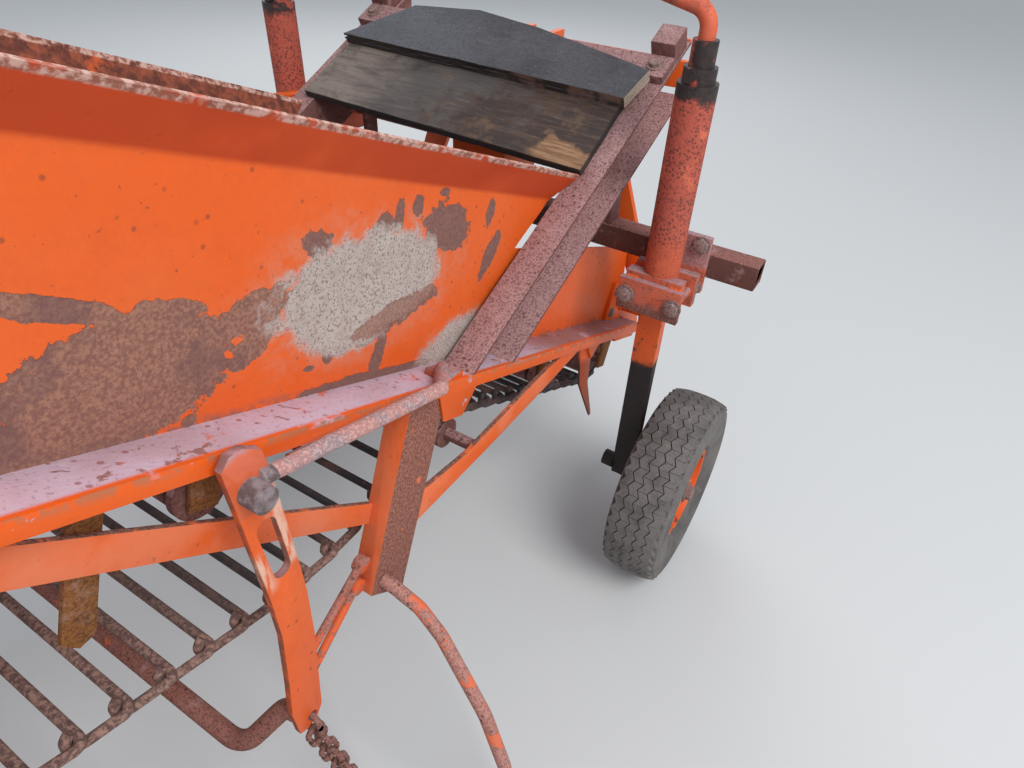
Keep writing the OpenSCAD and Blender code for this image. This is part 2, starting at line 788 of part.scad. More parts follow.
// Hanger plates under the flange rails for the rollers, and the long brown pair
module roller_hangers() {
  t = 6;
  cap_y = rod_half + 11;
  y0 = beam_y + run_gap;
  nose_u = 20;
  nose_n = web_n - nose_path;
  color(rust) for (s = [0, 1]) mirror([0, s, 0]) in_slope() {
    for (u = roller_u) {
      side_plate(y0, y0 + t, [[u - 22, -flange_t], [u + 22, -flange_t],
        [u + 16, roller_n - 16], [u - 16, roller_n - 16]]);
      translate([u, -y0, roller_n]) rotate([-90, 0, 0]) cylinder(h = y0 - cap_y, r = 10);
    }
    side_plate(y0, y0 + t, [[nose_u - 24, -flange_t], [nose_u + 24, -flange_t],
      [nose_u + 18, nose_n - 18], [nose_u - 18, nose_n - 18]]);
    side_plate(y0, y0 + t, [[-1168, -flange_t], [-1138, -flange_t],
      [-1138, -176], [-1152, -184], [-1168, -172]]);
  }
}

// Drive shaft with three notched sprockets and its two bearing blocks
module drive_shaft() {
  d = 35;
  t = 10;
  tooth_r = drive_r + 2;
  notch = rod_d / 2 + 4;
  step = pitch / drive_r * 180 / PI;
  block_u = 38;
  block_n = 45;
  color(rust) {
    for (y = [-190, 0, 190]) translate([drive_c[0], y + t / 2, drive_c[1]]) rotate([90, 0, 0])
      difference() {
        cylinder(h = t, r = tooth_r);
        for (k = [0 : floor(360 / step) - 1]) rotate([0, 0, up_ang + k * step])
          translate([drive_r + 1, 0, -1]) cylinder(h = t + 2, r = notch);
        translate([0, 0, -1]) cylinder(h = t + 2, d = d - 1);
      }
    translate([drive_c[0], 362, drive_c[1]]) rotate([90, 0, 0])
      cylinder(h = 362 + flange_y, d = d);
  }
  color(orange) for (s = [0, 1]) mirror([0, s, 0]) difference() {
    in_slope() translate([drive_u - block_u, -post_y, drive_n - block_n])
      cube([2 * block_u, 44, -flange_t - drive_n + block_n]);
    pin_y(drive_c[0], drive_c[1], 0, 400, d / 2 - 1);
  }
}

// Share: a pointed blade between the cheeks
module share() {
  w = sheet_y + sheet_t;
  color(rust) in_slope() translate([0, 0, -40]) linear_extrude(share_t)
    polygon([[86, -w], [160, -w], [236, -150], [share_tip, 0], [236, 150], [160, w], [86, w]]);
}
module share_cheeks() {
  y0 = sheet_y + sheet_t;
  color(orange) for (s = [0, 1]) mirror([0, s, 0]) in_slope() side_plate(y0, y0 + cheek_t,
    [[-30, 0], [74, 0], [74, -62], [196, -62], [214, -40], [150, 45], [104, 84], [-30, 84]]);
}

// Gearbox on the cross bar, with its shafts and the closed chain case
case_x = 655;
module gearbox() {
  base = cross_bar_z + cross_bar_s / 2;
  color(orange) {
    translate([580, -85, base]) cube([75, 170, 10]);
    translate([592, -62, base + 10]) cube([118, 124, 112]);
    translate([710, 0, pto_z]) rotate([0, 90, 0]) cylinder(h = 14, r = 44);
    translate([case_x, 62, pto_z]) rotate([-90, 0, 0]) cylinder(h = 14, r = 40);
  }
}
module input_shaft() {
  color(rust) translate([724, 0, pto_z]) rotate([0, 90, 0]) difference() {
    cylinder(h = 106, d = pto_d);
    translate([0, 0, 80]) difference() {
      cylinder(h = 8, d = pto_d + 2);
      cylinder(h = 8, d = pto_d - 6);
    }
  }
}
module cross_shaft() {
  color(rust) translate([case_x, 76, pto_z]) rotate([-90, 0, 0]) cylinder(h = 286, d = 30);
}
module drive_guard() {
  a = drive_c;
  b = [case_x, pto_z];
  ra = 58;
  rb = 45;
  y0 = 362;
  t = 24;
  dist = norm(b - a);
  dir = atan2(b[1] - a[1], b[0] - a[0]);
  off = acos((ra - rb) / dist);
  color(orange) left() {
    pin_y(a[0], a[1], y0, y0 + t, ra);
    pin_y(b[0], b[1], y0, y0 + t, rb);
    side_plate(y0, y0 + t, [
      around(a, ra, dir + off), around(b, rb, dir + off),
      around(b, rb, dir - off), around(a, ra, dir - off)]);
    side_plate(post_y + 4, y0, [[210, 640], [246, 640], [246, 800], [210, 800]]);
  }
}

// Rear leg with its stub axle and stay
module rear_leg() {
  s = rear_leg_s;
  y0 = post_y - s;
  axle_end = rear_wheel_y + 62;
  color(orange) difference() {
    union() {
      translate([rear_axle_x - s / 2, -post_y, rear_tyre_r - 35])
        cube([s, s, 900]);
      side_plate(y0 + 30, y0 + 42, [[rear_axle_x + s / 2, 620], [rear_axle_x + s / 2, 670],
        [-560, 960], [-500, 960], [-515, 920]]);
    }
    above_slope(-flange_t);
  }
  color(rust) {
    pin_y(rear_axle_x, rear_tyre_r, post_y, axle_end, rear_axle_d / 2);
    pin_y(rear_axle_x, rear_tyre_r, post_y, post_y + 12, 26);
  }
}
module rear_leg_right() rear_leg();
module rear_leg_left() left() rear_leg();
module rear_cross_tube() {
  s = rear_leg_s;
  half = post_y - s;
  color(orange) translate([rear_axle_x - s / 2, -half, rear_tube_z - s / 2])
    cube([s, 2 * half, s]);
}
module rear_tyre() {
  color(rubber) translate([rear_axle_x, -rear_wheel_y, rear_tyre_r])
    tyre(rear_tyre_r, rear_tyre_w, rear_rim_r);
}
module rear_tyre_right() rear_tyre();
module rear_tyre_left() left() rear_tyre();
module rear_rim() {
  color(orange) translate([rear_axle_x, -rear_wheel_y, rear_tyre_r])
    rim(rear_rim_r, rear_tyre_w, rear_axle_d, 4);
}
module rear_rim_right() rear_rim();
module rear_rim_left() left() rear_rim();

side_sheet_right();
side_sheet_left();
flange_rail_right();
flange_rail_left();
main_beam_right();
main_beam_left();
top_cross_iron();
headstock();
lower_hitch_right();
lower_hitch_left();
deck_board_upper();
deck_board_lower();
strut_cross_bar();
strut_clamp_right();
strut_clamp_left();
strut_tube_right();
strut_tube_left();
crank_right();
crank_left();
depth_leg_right();
depth_leg_left();
front_tyre_right();
front_tyre_left();
front_rim_right();
front_rim_left();
post_right();
post_left();
lower_bars_right();
lower_bars_left();
side_rod_right();
side_rod_left();
hanger_lever_right();
hanger_lever_left();
lever_links_right();
lever_links_left();
hoop_bar();
hang_chain();
rod_web();
web_rollers();
drive_shaft();
roller_hangers();
share();
share_cheeks();
gearbox();
input_shaft();
cross_shaft();
drive_guard();
rear_leg_right();
rear_leg_left();
rear_cross_tube();
rear_tyre_right();
rear_tyre_left();
rear_rim_right();
rear_rim_left();
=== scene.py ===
# %% [markdown]
# # An elevator potato digger
# The machine hangs on a tractor by three points. A share lifts the ridge, a web of hooked rods
# carries it up between two side sheets, and the soil falls through. The solids come from the
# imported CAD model, so this lesson only dresses them: first the camera and the light, then the
# finishes, then the pieces whose shape is finer than the solids.

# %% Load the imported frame
import json
import math

import bmesh
import bpy
from mathutils import Matrix, Vector, noise


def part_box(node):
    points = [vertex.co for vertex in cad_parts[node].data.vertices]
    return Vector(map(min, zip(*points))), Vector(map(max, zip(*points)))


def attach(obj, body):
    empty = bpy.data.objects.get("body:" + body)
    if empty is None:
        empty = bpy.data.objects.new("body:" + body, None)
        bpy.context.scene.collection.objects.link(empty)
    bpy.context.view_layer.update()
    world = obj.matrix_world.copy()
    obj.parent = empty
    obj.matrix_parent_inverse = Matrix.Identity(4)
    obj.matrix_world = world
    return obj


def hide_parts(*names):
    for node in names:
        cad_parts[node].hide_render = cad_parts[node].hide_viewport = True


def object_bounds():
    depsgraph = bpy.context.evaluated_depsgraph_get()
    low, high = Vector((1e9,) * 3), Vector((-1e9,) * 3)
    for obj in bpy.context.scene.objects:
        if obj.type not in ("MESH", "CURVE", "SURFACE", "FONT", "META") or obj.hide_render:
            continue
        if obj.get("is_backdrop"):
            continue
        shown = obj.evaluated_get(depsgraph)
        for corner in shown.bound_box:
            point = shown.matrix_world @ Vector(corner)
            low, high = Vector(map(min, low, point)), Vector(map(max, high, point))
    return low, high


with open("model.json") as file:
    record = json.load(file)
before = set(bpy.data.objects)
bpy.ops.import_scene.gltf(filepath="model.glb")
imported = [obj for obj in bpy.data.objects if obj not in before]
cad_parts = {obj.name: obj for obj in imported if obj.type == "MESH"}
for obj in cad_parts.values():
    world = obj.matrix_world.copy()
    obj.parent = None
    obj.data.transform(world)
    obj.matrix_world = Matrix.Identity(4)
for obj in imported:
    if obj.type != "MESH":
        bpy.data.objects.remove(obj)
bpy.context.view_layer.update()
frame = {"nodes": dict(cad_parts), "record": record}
cad = frame["nodes"]
scene = bpy.context.scene

# %% [markdown]
# The photo looks down on the right side from behind. The camera stands where the photo's was: its
# place and its three axes were worked out from the lines of the machine that run to the
# vanishing points, so it is written as a matrix and not aimed at a target.

# %% Stand the camera where the photo was taken
camera_data = bpy.data.cameras.new("camera")
camera_data.lens = 24.6
camera_data.sensor_width = 36
camera = bpy.data.objects.new("camera", camera_data)
scene.collection.objects.link(camera)
scene.camera = camera
camera_right = (0.53078, -0.84660, 0.03928)
camera_up = (0.50998, 0.35607, 0.78303)
camera_back = (-0.67690, -0.39558, 0.62075)
camera_place = Vector((-0.540, -0.765, 1.270))
camera_turn = Matrix((camera_right, camera_up, camera_back)).transposed()
camera.matrix_world = Matrix.Translation(camera_place) @ camera_turn.to_4x4()
print("camera at", tuple(round(v, 3) for v in camera_place))

# %% [markdown]
# Finishes are sums of masks: where rust has broken through, where dust lies, where paint is
# chipped. Writing them as Python sums is shorter and clearer than wiring by hand, so a small
# class wraps a socket and each operator adds one Math node.

# %% A socket that can be added and multiplied
class Wire:
    """An output socket on which sums are written as Python expressions."""

    def __init__(self, tree, socket):
        self.tree, self.socket = tree, socket

    def _math(self, operation, first, second):
        return self.tree.node("ShaderNodeMath", {"operation": operation}, {0: first, 1: second})

    def __add__(self, other):
        return self._math("ADD", self, other)

    def __sub__(self, other):
        return self._math("SUBTRACT", self, other)

    def __rsub__(self, other):
        return self._math("SUBTRACT", other, self)

    def __mul__(self, other):
        return self._math("MULTIPLY", self, other)

    def __truediv__(self, other):
        return self._math("DIVIDE", self, other)

    def __abs__(self):
        return self._math("ABSOLUTE", self, 0.0)

    def either(self, other):
        """The larger of two masks."""
        return self._math("MAXIMUM", self, other)

    __radd__ = __add__
    __rmul__ = __mul__


class Tree:
    """A node tree, with one method that adds a node, sets it and wires its sockets."""

    def __init__(self, tree):
        self.tree = tree

    def plug(self, socket, value):
        if isinstance(value, Wire):
            self.tree.links.new(value.socket, socket)
        else:
            socket.default_value = value

    def node(self, kind, settings, sockets, output=0):
        made = self.tree.nodes.new(kind)
        for name, value in settings.items():
            setattr(made, name, value)
        for name, value in sockets.items():
            self.plug(made.inputs[name], value)
        return Wire(self, made.outputs[output])


print("sockets can be added and multiplied")

# %% [markdown]
# A part for a library is lit plainly: a pale floor, one large soft lamp above, a weaker one from
# the side and an even sky. The sky is brighter for the camera than for the machine, so the
# background is pale while the paint keeps the colour that it is given.

# %% Light and sky
def area_lamp(name, place, aim, size, watts):
    """A square soft lamp that looks at a point."""
    data = bpy.data.lights.new(name, "AREA")
    data.shape, data.size, data.energy = "SQUARE", size, watts
    lamp = bpy.data.objects.new(name, data)
    scene.collection.objects.link(lamp)
    lamp.location = place
    lamp.rotation_euler = (Vector(aim) - Vector(place)).to_track_quat("-Z", "Y").to_euler()


area_lamp("key_lamp", (-1.0, -3.4, 4.2), (0, 0, 0.6), 2.6, 190)
area_lamp("fill_lamp", (3.6, 2.6, 3.4), (0, 0, 0.5), 3.5, 70)
scene.world = bpy.data.worlds.new("sky")
scene.world.use_nodes = True
scene.world.node_tree.nodes.clear()
sky = Tree(scene.world.node_tree)
seen = sky.node("ShaderNodeMath", {"operation": "MAXIMUM"}, {
    0: sky.node("ShaderNodeLightPath", {}, {}, "Is Camera Ray"),
    1: sky.node("ShaderNodeLightPath", {}, {}, "Is Glossy Ray")})
daylight = sky.node("ShaderNodeBackground", {}, {
    "Color": (0.80, 0.86, 0.95, 1), "Strength": 0.62})
backdrop = sky.node("ShaderNodeBackground", {}, {
    "Color": (0.86, 0.87, 0.88, 1), "Strength": 0.9})
whole_sky = sky.node("ShaderNodeMixShader", {}, {0: seen, 1: daylight, 2: backdrop})
sky.plug(sky.tree.nodes.new("ShaderNodeOutputWorld").inputs["Surface"], whole_sky)
scene.view_settings.view_transform = "Standard"
print("two lamps and a pale sky")

# %% [markdown]
# Every finish here starts from the same few things: the place on the machine in metres, noise of
# a given grain, a soft threshold, and a mix of two colours. `Finish` is a tree with those. All
# grain sizes are in spots per metre, so they are right on a bolt and on a sheet alike.

# %% The base of all finishes
SLOPE = math.radians(22.3)
SLOPE_X, SLOPE_Z = 0.690, 0.434


def shown(colour):
    """A colour as it is seen on screen, 0 to 255, as the linear one that nodes work in."""
    if isinstance(colour, Wire):
        return colour
    parts = [part / 255 for part in colour]
    return (*(v / 12.92 if v <= 0.04045 else ((v + 0.055) / 1.055) ** 2.4 for v in parts), 1)


class Finish(Tree):
    """A material: colour, roughness and bump, built up in layers."""

    def __init__(self, name, colour, rough, metal=0.0):
        self.material = bpy.data.materials.new(name)
        self.material.use_nodes = True
        super().__init__(self.material.node_tree)
        self.shader = self.tree.nodes["Principled BSDF"]
        self.place = self.node("ShaderNodeTexCoord", {}, {}, "Object")
        self.x, self.y, self.z = (self.part_of(self.place, axis) for axis in range(3))
        self.colour, self.rough, self.metal, self.height = colour, rough, metal, None

    def part_of(self, vector, axis):
        return self.node("ShaderNodeSeparateXYZ", {}, {0: vector}, axis)

    def normal(self, axis):
        return self.part_of(self.node("ShaderNodeNewGeometry", {}, {}, "Normal"), axis)

    def noise(self, scale, detail=4.0, rough=0.55, bend=0.0, place=None):
        return self.node("ShaderNodeTexNoise", {}, {
            "Vector": place or self.place, "Scale": scale, "Detail": detail,
            "Roughness": rough, "Distortion": bend})

    def cells(self, scale):
        return self.node("ShaderNodeTexVoronoi", {}, {"Vector": self.place, "Scale": scale})

    def step(self, value, low, high):
        """0 under low, 1 over high, smooth between; low may be the larger."""
        return self.node("ShaderNodeMapRange", {"interpolation_type": "SMOOTHSTEP"}, {
            0: value, 1: low, 2: high, 3: 0.0, 4: 1.0})

    def patches(self, low, high, *grain):
        """Patches of noise: 0 where it is under low, 1 where it is over high."""
        return self.step(self.noise(*grain), low, high)

    def streaks(self, sizes, detail, rough, bend=0.2, turn=(0, 0, 0)):
        """Noise that is turned and stretched, for grain that runs one way."""
        place = self.node("ShaderNodeMapping", {}, {
            0: self.place, "Rotation": turn, "Scale": sizes})
        return self.noise(1.0, detail, rough, bend, place)

    def mix(self, mask, first, second):
        """A colour between two; each is a wire or a colour as seen on screen."""
        return self.node("ShaderNodeMix", {"data_type": "RGBA"}, {
            0: mask, 6: shown(first), 7: shown(second)}, 2)

    def layer(self, mask, colour, rough=None, metal=None, lift=None):
        """Lays a colour over the ones before it where the mask is 1."""
        self.colour = self.mix(mask, self.colour, colour)
        if rough is not None:
            self.rough = mask * (rough - self.rough) + self.rough
        if metal is not None:
            self.metal = mask * (metal - self.metal) + self.metal
        if lift is not None:
            self.raise_by(mask * lift)
        return self

    def raise_by(self, wire):
        self.height = wire if self.height is None else self.height + wire

    def dull(self, level):
        """Less shine than a clean dielectric, for chalk and rust."""
        self.shader.inputs["Specular IOR Level"].default_value = level
        return self

    def done(self):
        """Wires the layers to the shader; heights are in millimetres."""
        self.plug(self.shader.inputs["Base Color"], shown(self.colour))
        self.plug(self.shader.inputs["Roughness"], self.rough)
        self.plug(self.shader.inputs["Metallic"], self.metal)
        if self.height is not None:
            self.plug(self.shader.inputs["Normal"], self.node("ShaderNodeBump", {}, {
                "Strength": 1.0, "Distance": 0.001, "Height": self.height}))
        return self.material


print("finishes are sums of masks, in spots per metre")

# %% [markdown]
# Wear follows the shape of a part: rain stands on what faces up, grease is at the mouth of a tube,
# a bolt head is rusty on a painted plate. On some parts a reflection of the sky is painted on what
# faces up. The CAD keeps such things in one solid, so a mask picks them out by their place on the
# machine or by the way that they face.

# %% Masks that know the machine
def on_slope(finish):
    """The place along the elevator and square to it."""
    ahead, above = finish.x - SLOPE_X, finish.z - SLOPE_Z
    return (ahead * math.cos(SLOPE) - above * math.sin(SLOPE),
            ahead * math.sin(SLOPE) + above * math.cos(SLOPE))


def outboard(finish):
    """1 on faces that look away from the machine's middle plane."""
    across = finish.normal(1)
    return finish.step(across * finish.step(finish.y, -0.001, 0.001)
                       - across * finish.step(finish.y, 0.001, -0.001), 0.60, 0.80)


# what faces up: rust where rain stands, and on some parts a painted reflection of the sky
def upward(finish, low=0.35, high=0.60):
    return finish.step(finish.normal(2), low, high)


def within(finish, soft=0.002, **limits):
    """1 between the limits given for x, y and z; y counts on both sides at once."""
    mask = None
    for axis, (first, last) in limits.items():
        value = abs(finish.y) if axis == "y" else getattr(finish, axis)
        for edge, sign in ((first, 1), (last, -1)):
            if edge is not None:
                one = finish.step(value, edge - sign * soft, edge + sign * soft)
                mask = one if mask is None else mask * one
    return mask


print("masks by place and by facing")

# %% [markdown]
# The machine's orange paint is chalky and pocked. Three things break it: pin-head rust spots all
# over, irregular brown patches with a crisp edge where it has flaked off, and a dull fade between.
# The flaked patches are large on the side sheets and small elsewhere, so their size is a number.

# %% Orange paint and what lies under it
ORANGE, ORANGE_FADED, ORANGE_DEEP = (224, 91, 22), (218, 108, 58), (196, 70, 16)
RUST_BROWN, RUST_RED, RUST_DARK = (140, 98, 84), (132, 70, 52), (78, 54, 48)


def rust_colour(finish, scale=90, light=RUST_BROWN, dark=RUST_DARK):
    """Granular rust: brown flecks on a darker ground."""
    return finish.mix(finish.patches(0.38, 0.66, scale, 5, 0.7), dark, light)


def orange_ground(name, spots=0.5, chips=0.60, chip_scale=9):
    """Fresh layers of orange: fade, dirt film, rust pinholes and flaked chips."""
    finish = Finish(name, ORANGE, 0.45).dull(0.35)
    fade = finish.patches(0.42, 0.70, 3.1, 3, 0.6)
    finish.layer(fade * 0.45, ORANGE_FADED, 0.55)
    grime = finish.patches(0.50, 0.80, 14, 6, 0.7)
    finish.layer(grime * 0.35, ORANGE_DEEP, 0.6)
    pin = finish.step(finish.cells(55), 0.17, 0.07) * finish.patches(0.50, 0.60, 21, 2)
    fine = finish.patches(0.70, 0.76, 170, 2)
    finish.layer(pin.either(fine) * spots, RUST_DARK, 0.85, lift=-0.3)
    edge = finish.noise(chip_scale, 8, 0.68, 0.4)
    flaked = finish.step(edge, chips, chips + 0.015)
    finish.layer(flaked, rust_colour(finish), 0.9, lift=-0.4)
    mottle = finish.patches(0.35, 0.70, 95, 4, 0.7)
    finish.layer(mottle * 0.22, (196, 82, 34))
    finish.raise_by(finish.noise(60, 3) * 0.25 + finish.noise(320, 2) * 0.08)
    return finish


def orange_paint(name, chips=0.62, chip_scale=9):
    """Plain orange paint, for every painted part but the side sheets."""
    return orange_ground(name, 0.7, chips, chip_scale).done()


print("orange is", [round(part, 3) for part in shown(ORANGE)[:3]])

# %% [markdown]
# The side sheet's patches can't come from noise alone: one long lens of brown at the rear, a pale
# scoured patch near the beam, a few licks above it. Each is an ellipse on the sheet, placed along
# the slope (u) and square to it (n), whose edge is torn by noise. The left sheet gets the same
# kinds at other places.

# %% Where the sheets have flaked and where they are scoured
# along the slope and square to it; half length and half height; tilt; raggedness; softness
RIGHT_FLAKES = [
    (-1.174, 0.121, 0.060, 0.010, -11, 1.0, 0.05),
    (-1.117, 0.056, 0.104, 0.056, 8, 1.0, 0.025),
    (-1.155, 0.018, 0.075, 0.034, 0, 0.9, 0.03),
    (-1.101, 0.100, 0.052, 0.019, 4, 1.2, 0.04),
    (-1.082, 0.114, 0.034, 0.008, -5, 1.6, 0.05),
    (-0.990, 0.103, 0.056, 0.020, 20, 1.3, 0.04),
    (-0.994, 0.066, 0.030, 0.015, 37, 1.3, 0.05),
    (-0.775, 0.080, 0.084, 0.015, 20, 1.7, 0.06),
    (-0.796, 0.028, 0.010, 0.030, -6, 1.5, 0.06),
    (-0.795, 0.002, 0.112, 0.009, 0, 1.4, 0.08),
    (-0.925, 0.169, 0.020, 0.015, 9, 1.9, 0.06),
    (-0.826, 0.188, 0.014, 0.017, 10, 1.9, 0.06),
    (-0.804, 0.199, 0.009, 0.022, 4, 1.6, 0.08),
    (-0.704, 0.188, 0.048, 0.030, -8, 1.5, 0.04),
    (-0.771, 0.214, 0.009, 0.010, 0, 1.8, 0.08),
    (-0.723, 0.232, 0.009, 0.005, 4, 1.2, 0.08),
    (-0.580, 0.155, 0.013, 0.042, -18, 1.4, 0.05),
    (-0.605, 0.212, 0.010, 0.016, 0, 1.6, 0.08),
    (-0.902, 0.070, 0.009, 0.009, 0, 1.7, 0.08),
    (-0.885, 0.042, 0.010, 0.009, 0, 1.8, 0.08),
    (-0.911, 0.032, 0.008, 0.004, 0, 1.6, 0.10),
    (-1.055, 0.006, 0.007, 0.006, 0, 1.6, 0.10),
]
RIGHT_SCOURED = [
    (-0.838, 0.121, 0.116, 0.055, 9, 0.8, 0.40),
    (-0.868, 0.078, 0.060, 0.030, 0, 0.8, 0.50),
    (-0.625, 0.022, 0.066, 0.030, 18, 0.8, 0.60),
]
LEFT_FLAKES = [
    (-1.320, 0.070, 0.140, 0.048, -8, 1.4, 0.04),
    (-0.900, 0.060, 0.070, 0.036, 20, 1.5, 0.04),
    (-0.560, 0.120, 0.026, 0.060, 10, 1.4, 0.05),
    (-1.060, 0.190, 0.050, 0.014, -10, 1.5, 0.06),
    (-0.200, 0.070, 0.060, 0.030, 0, 1.5, 0.05),
]
LEFT_SCOURED = [(-0.740, 0.110, 0.090, 0.040, -10, 0.8, 0.5)]
print(len(RIGHT_FLAKES) + len(RIGHT_SCOURED), "patches on the right sheet")

# %% [markdown]
# Measured along two turned axes and divided by the half sizes, the distance from the centre is 1
# on the rim of an ellipse. Noise added to that distance tears the rim. Plain number nodes do it
# all: vector nodes would be shorter to write, but dozens of them overfill the shader's memory.

# %% Torn ellipses
def torn_patches(finish, u, n, tear, rows):
    """Ellipses whose edge is torn by noise: 1 inside, 0 outside."""
    def sum_of(first, second, third):
        return finish.node("ShaderNodeMath", {"operation": "MULTIPLY_ADD"}, {
            0: first, 1: second, 2: third})

    mask = None
    for centre_u, centre_n, half_length, half_height, tilt, ragged, soft in rows:
        axes = []
        for turn, half in ((0.0, half_length), (math.pi / 2, half_height)):
            slant = math.radians(tilt) + turn
            du, dn = math.cos(slant) / half, math.sin(slant) / half
            axes.append(sum_of(n, dn, sum_of(u, du, -centre_u * du - centre_n * dn)))
        major, minor = axes
        reach = finish.node("ShaderNodeMath", {"operation": "SQRT"}, {
            0: sum_of(major, major, minor * minor)})
        one = finish.step(sum_of(tear, ragged, reach), 1.0 + soft, 1.0)
        mask = one if mask is None else mask.either(one)
    return mask


sheet = orange_ground("side_sheet_paint", 0.55, 0.72, 6)
sheet_u, sheet_n = on_slope(sheet)
coarse, fine = sheet.noise(26, 5, 0.62, 0.5), sheet.noise(120, 3, 0.6)
spread = sheet.noise(70, 5, 0.75)
tear = coarse + fine * 0.5 - 0.75
on_right = sheet.step(sheet.y, 0.01, -0.01)


def torn(rows, side=on_right):
    return torn_patches(sheet, sheet_u, sheet_n, tear, rows) * side


flakes = torn(RIGHT_FLAKES).either(torn(LEFT_FLAKES, 1 - on_right))
scoured = torn(RIGHT_SCOURED).either(torn(LEFT_SCOURED, 1 - on_right))
blush = torn([(u, n - 0.004, length * 1.25, height * 1.3, tilt, 0.9, 0.5)
              for u, n, length, height, tilt, *_ in RIGHT_SCOURED])
tongue = torn([(-0.775, 0.084, 0.070, 0.012, 20, 1.8, 0.30)])
print("masks for flaked and for scoured patches")

# %% [markdown]
# The layers follow the wear: a blush round what soil has scoured, brown where paint has flaked,
# near black in the forward flakes, and the grey of bare steel on top. The inner faces are rusty,
# because the crop slides along them, and only there does the facing of the sheet decide.

# %% The side sheets' finish
sheet.layer(blush * sheet.step(spread, 0.30, 0.66) * 0.55, (196, 132, 108), 0.85)
flake_brown = rust_colour(sheet, 300, (160, 114, 94), (124, 84, 74))
sheet.layer(flakes, flake_brown, 0.92, lift=-0.5)
blackish = (sheet.patches(0.54, 0.66, 13, 4, 0.6) * flakes).either(
    flakes * sheet.step(sheet_u, -0.955, -0.935) * 0.9)
sheet.layer(blackish * 0.55, (104, 74, 74), 0.92)
speckle = sheet.patches(0.38, 0.50, 330, 3, 0.7)
pale = sheet.mix(sheet.patches(0.40, 0.70, 55, 4, 0.7) * 0.5,
                 sheet.mix(speckle, (128, 110, 102), (182, 168, 160)), (160, 138, 132))
sheet.layer(scoured * sheet.step(spread + scoured * 0.55, 0.50, 0.86), pale, 0.8)
sheet.layer(tongue * 0.8, flake_brown, 0.9)
# the sheets' insides have lost most of their paint to sliding soil
outward = sheet.normal(1) * (0.5 - on_right)
sheet.layer(sheet.step(outward, -0.02, -0.10) * sheet.patches(0.36, 0.46, 7, 6, 0.7),
            rust_colour(sheet, 60, (150, 78, 54), (92, 48, 38)), 0.8)
# the flared band is darker, its lip is bare, specks gather forward below the fold, and the foot is
# darker
band = sheet.step(sheet_n + fine * 0.002, 0.236, 0.243) * sheet.step(outward, 0.02, 0.12)
sheet.layer(band * sheet.patches(0.15, 0.50, 5, 4) * 0.9, (186, 60, 10), 0.5)
lip = sheet.step(sheet_n, 0.2760, 0.2785) * sheet.patches(0.34, 0.50, 30, 4)
sheet.layer(lip, sheet.mix(sheet.step(fine, 0.40, 0.60), (148, 92, 74), (206, 164, 150)), 0.7)
forward = sheet.step(sheet_u, -0.80, -0.60) * sheet.step(sheet_n, 0.236, 0.226)
specks = sheet.step(sheet.cells(82), 0.19, 0.10) * sheet.patches(0.44, 0.56, 18, 4)
sheet.layer(specks * forward * 0.75, (120, 66, 48), 0.85)
# darker brown towards the sheet's foot, just above the flange
low = sheet.step(sheet_n + coarse * 0.02, 0.022, 0.008) * sheet.step(spread, 0.42, 0.60)
sheet.layer(low * 0.8, (122, 90, 82), 0.85)
side_sheet_paint = sheet.done()
print("side sheets:", len(sheet.tree.nodes), "nodes")

# %% [markdown]
# Bare iron on this machine rusts in three ways. The beams and the cross irons are granular and
# pinkish brown. The flat flange rails, where rain stands, have rusted to a pale lilac grey that is
# partly a painted reflection of the sky, with brown scabs, and keep orange only along the lip. The
# strut tubes are salmon, because thin paint still shows through the rust.

# %% Rusted iron finishes
def granular_rust(name, light=(170, 126, 120), dark=(112, 76, 70), under=None, kept=0.70,
                  side=None):
    """Pitted rust, with traces of the paint that it ate; `side` is the colour of upright faces, a
    painted shade.
    """
    finish = Finish(name, light, 0.86).dull(0.25)
    big = finish.noise(11, 6, 0.65)
    grain = finish.noise(330, 4, 0.72)
    # upright faces darker: painted shade, as on a channel's recessed web
    if side:
        finish.layer(finish.step(abs(finish.normal(2)), 0.62, 0.40) * 0.85, side)
    finish.layer(finish.step(grain, 0.47, 0.60) * 0.75, dark, lift=-0.3)
    finish.layer(finish.step(big, 0.52, 0.70) * 0.35, RUST_RED)
    pits = finish.step(finish.cells(95), 0.30, 0.14)
    finish.layer(pits * finish.step(big, 0.38, 0.52) * 0.7, (84, 48, 44), lift=-0.4)
    dust = finish.patches(0.52, 0.72, 34, 5, 0.7)
    finish.layer(dust * 0.35, (196, 160, 154), 0.9, lift=0.1)
    if under:
        finish.layer(finish.patches(kept, kept + 0.03, 16, 7, 0.7, 0.3), under, 0.55, lift=0.3)
    finish.raise_by(grain * 0.35 + finish.noise(40, 4) * 0.8)
    return finish.done()


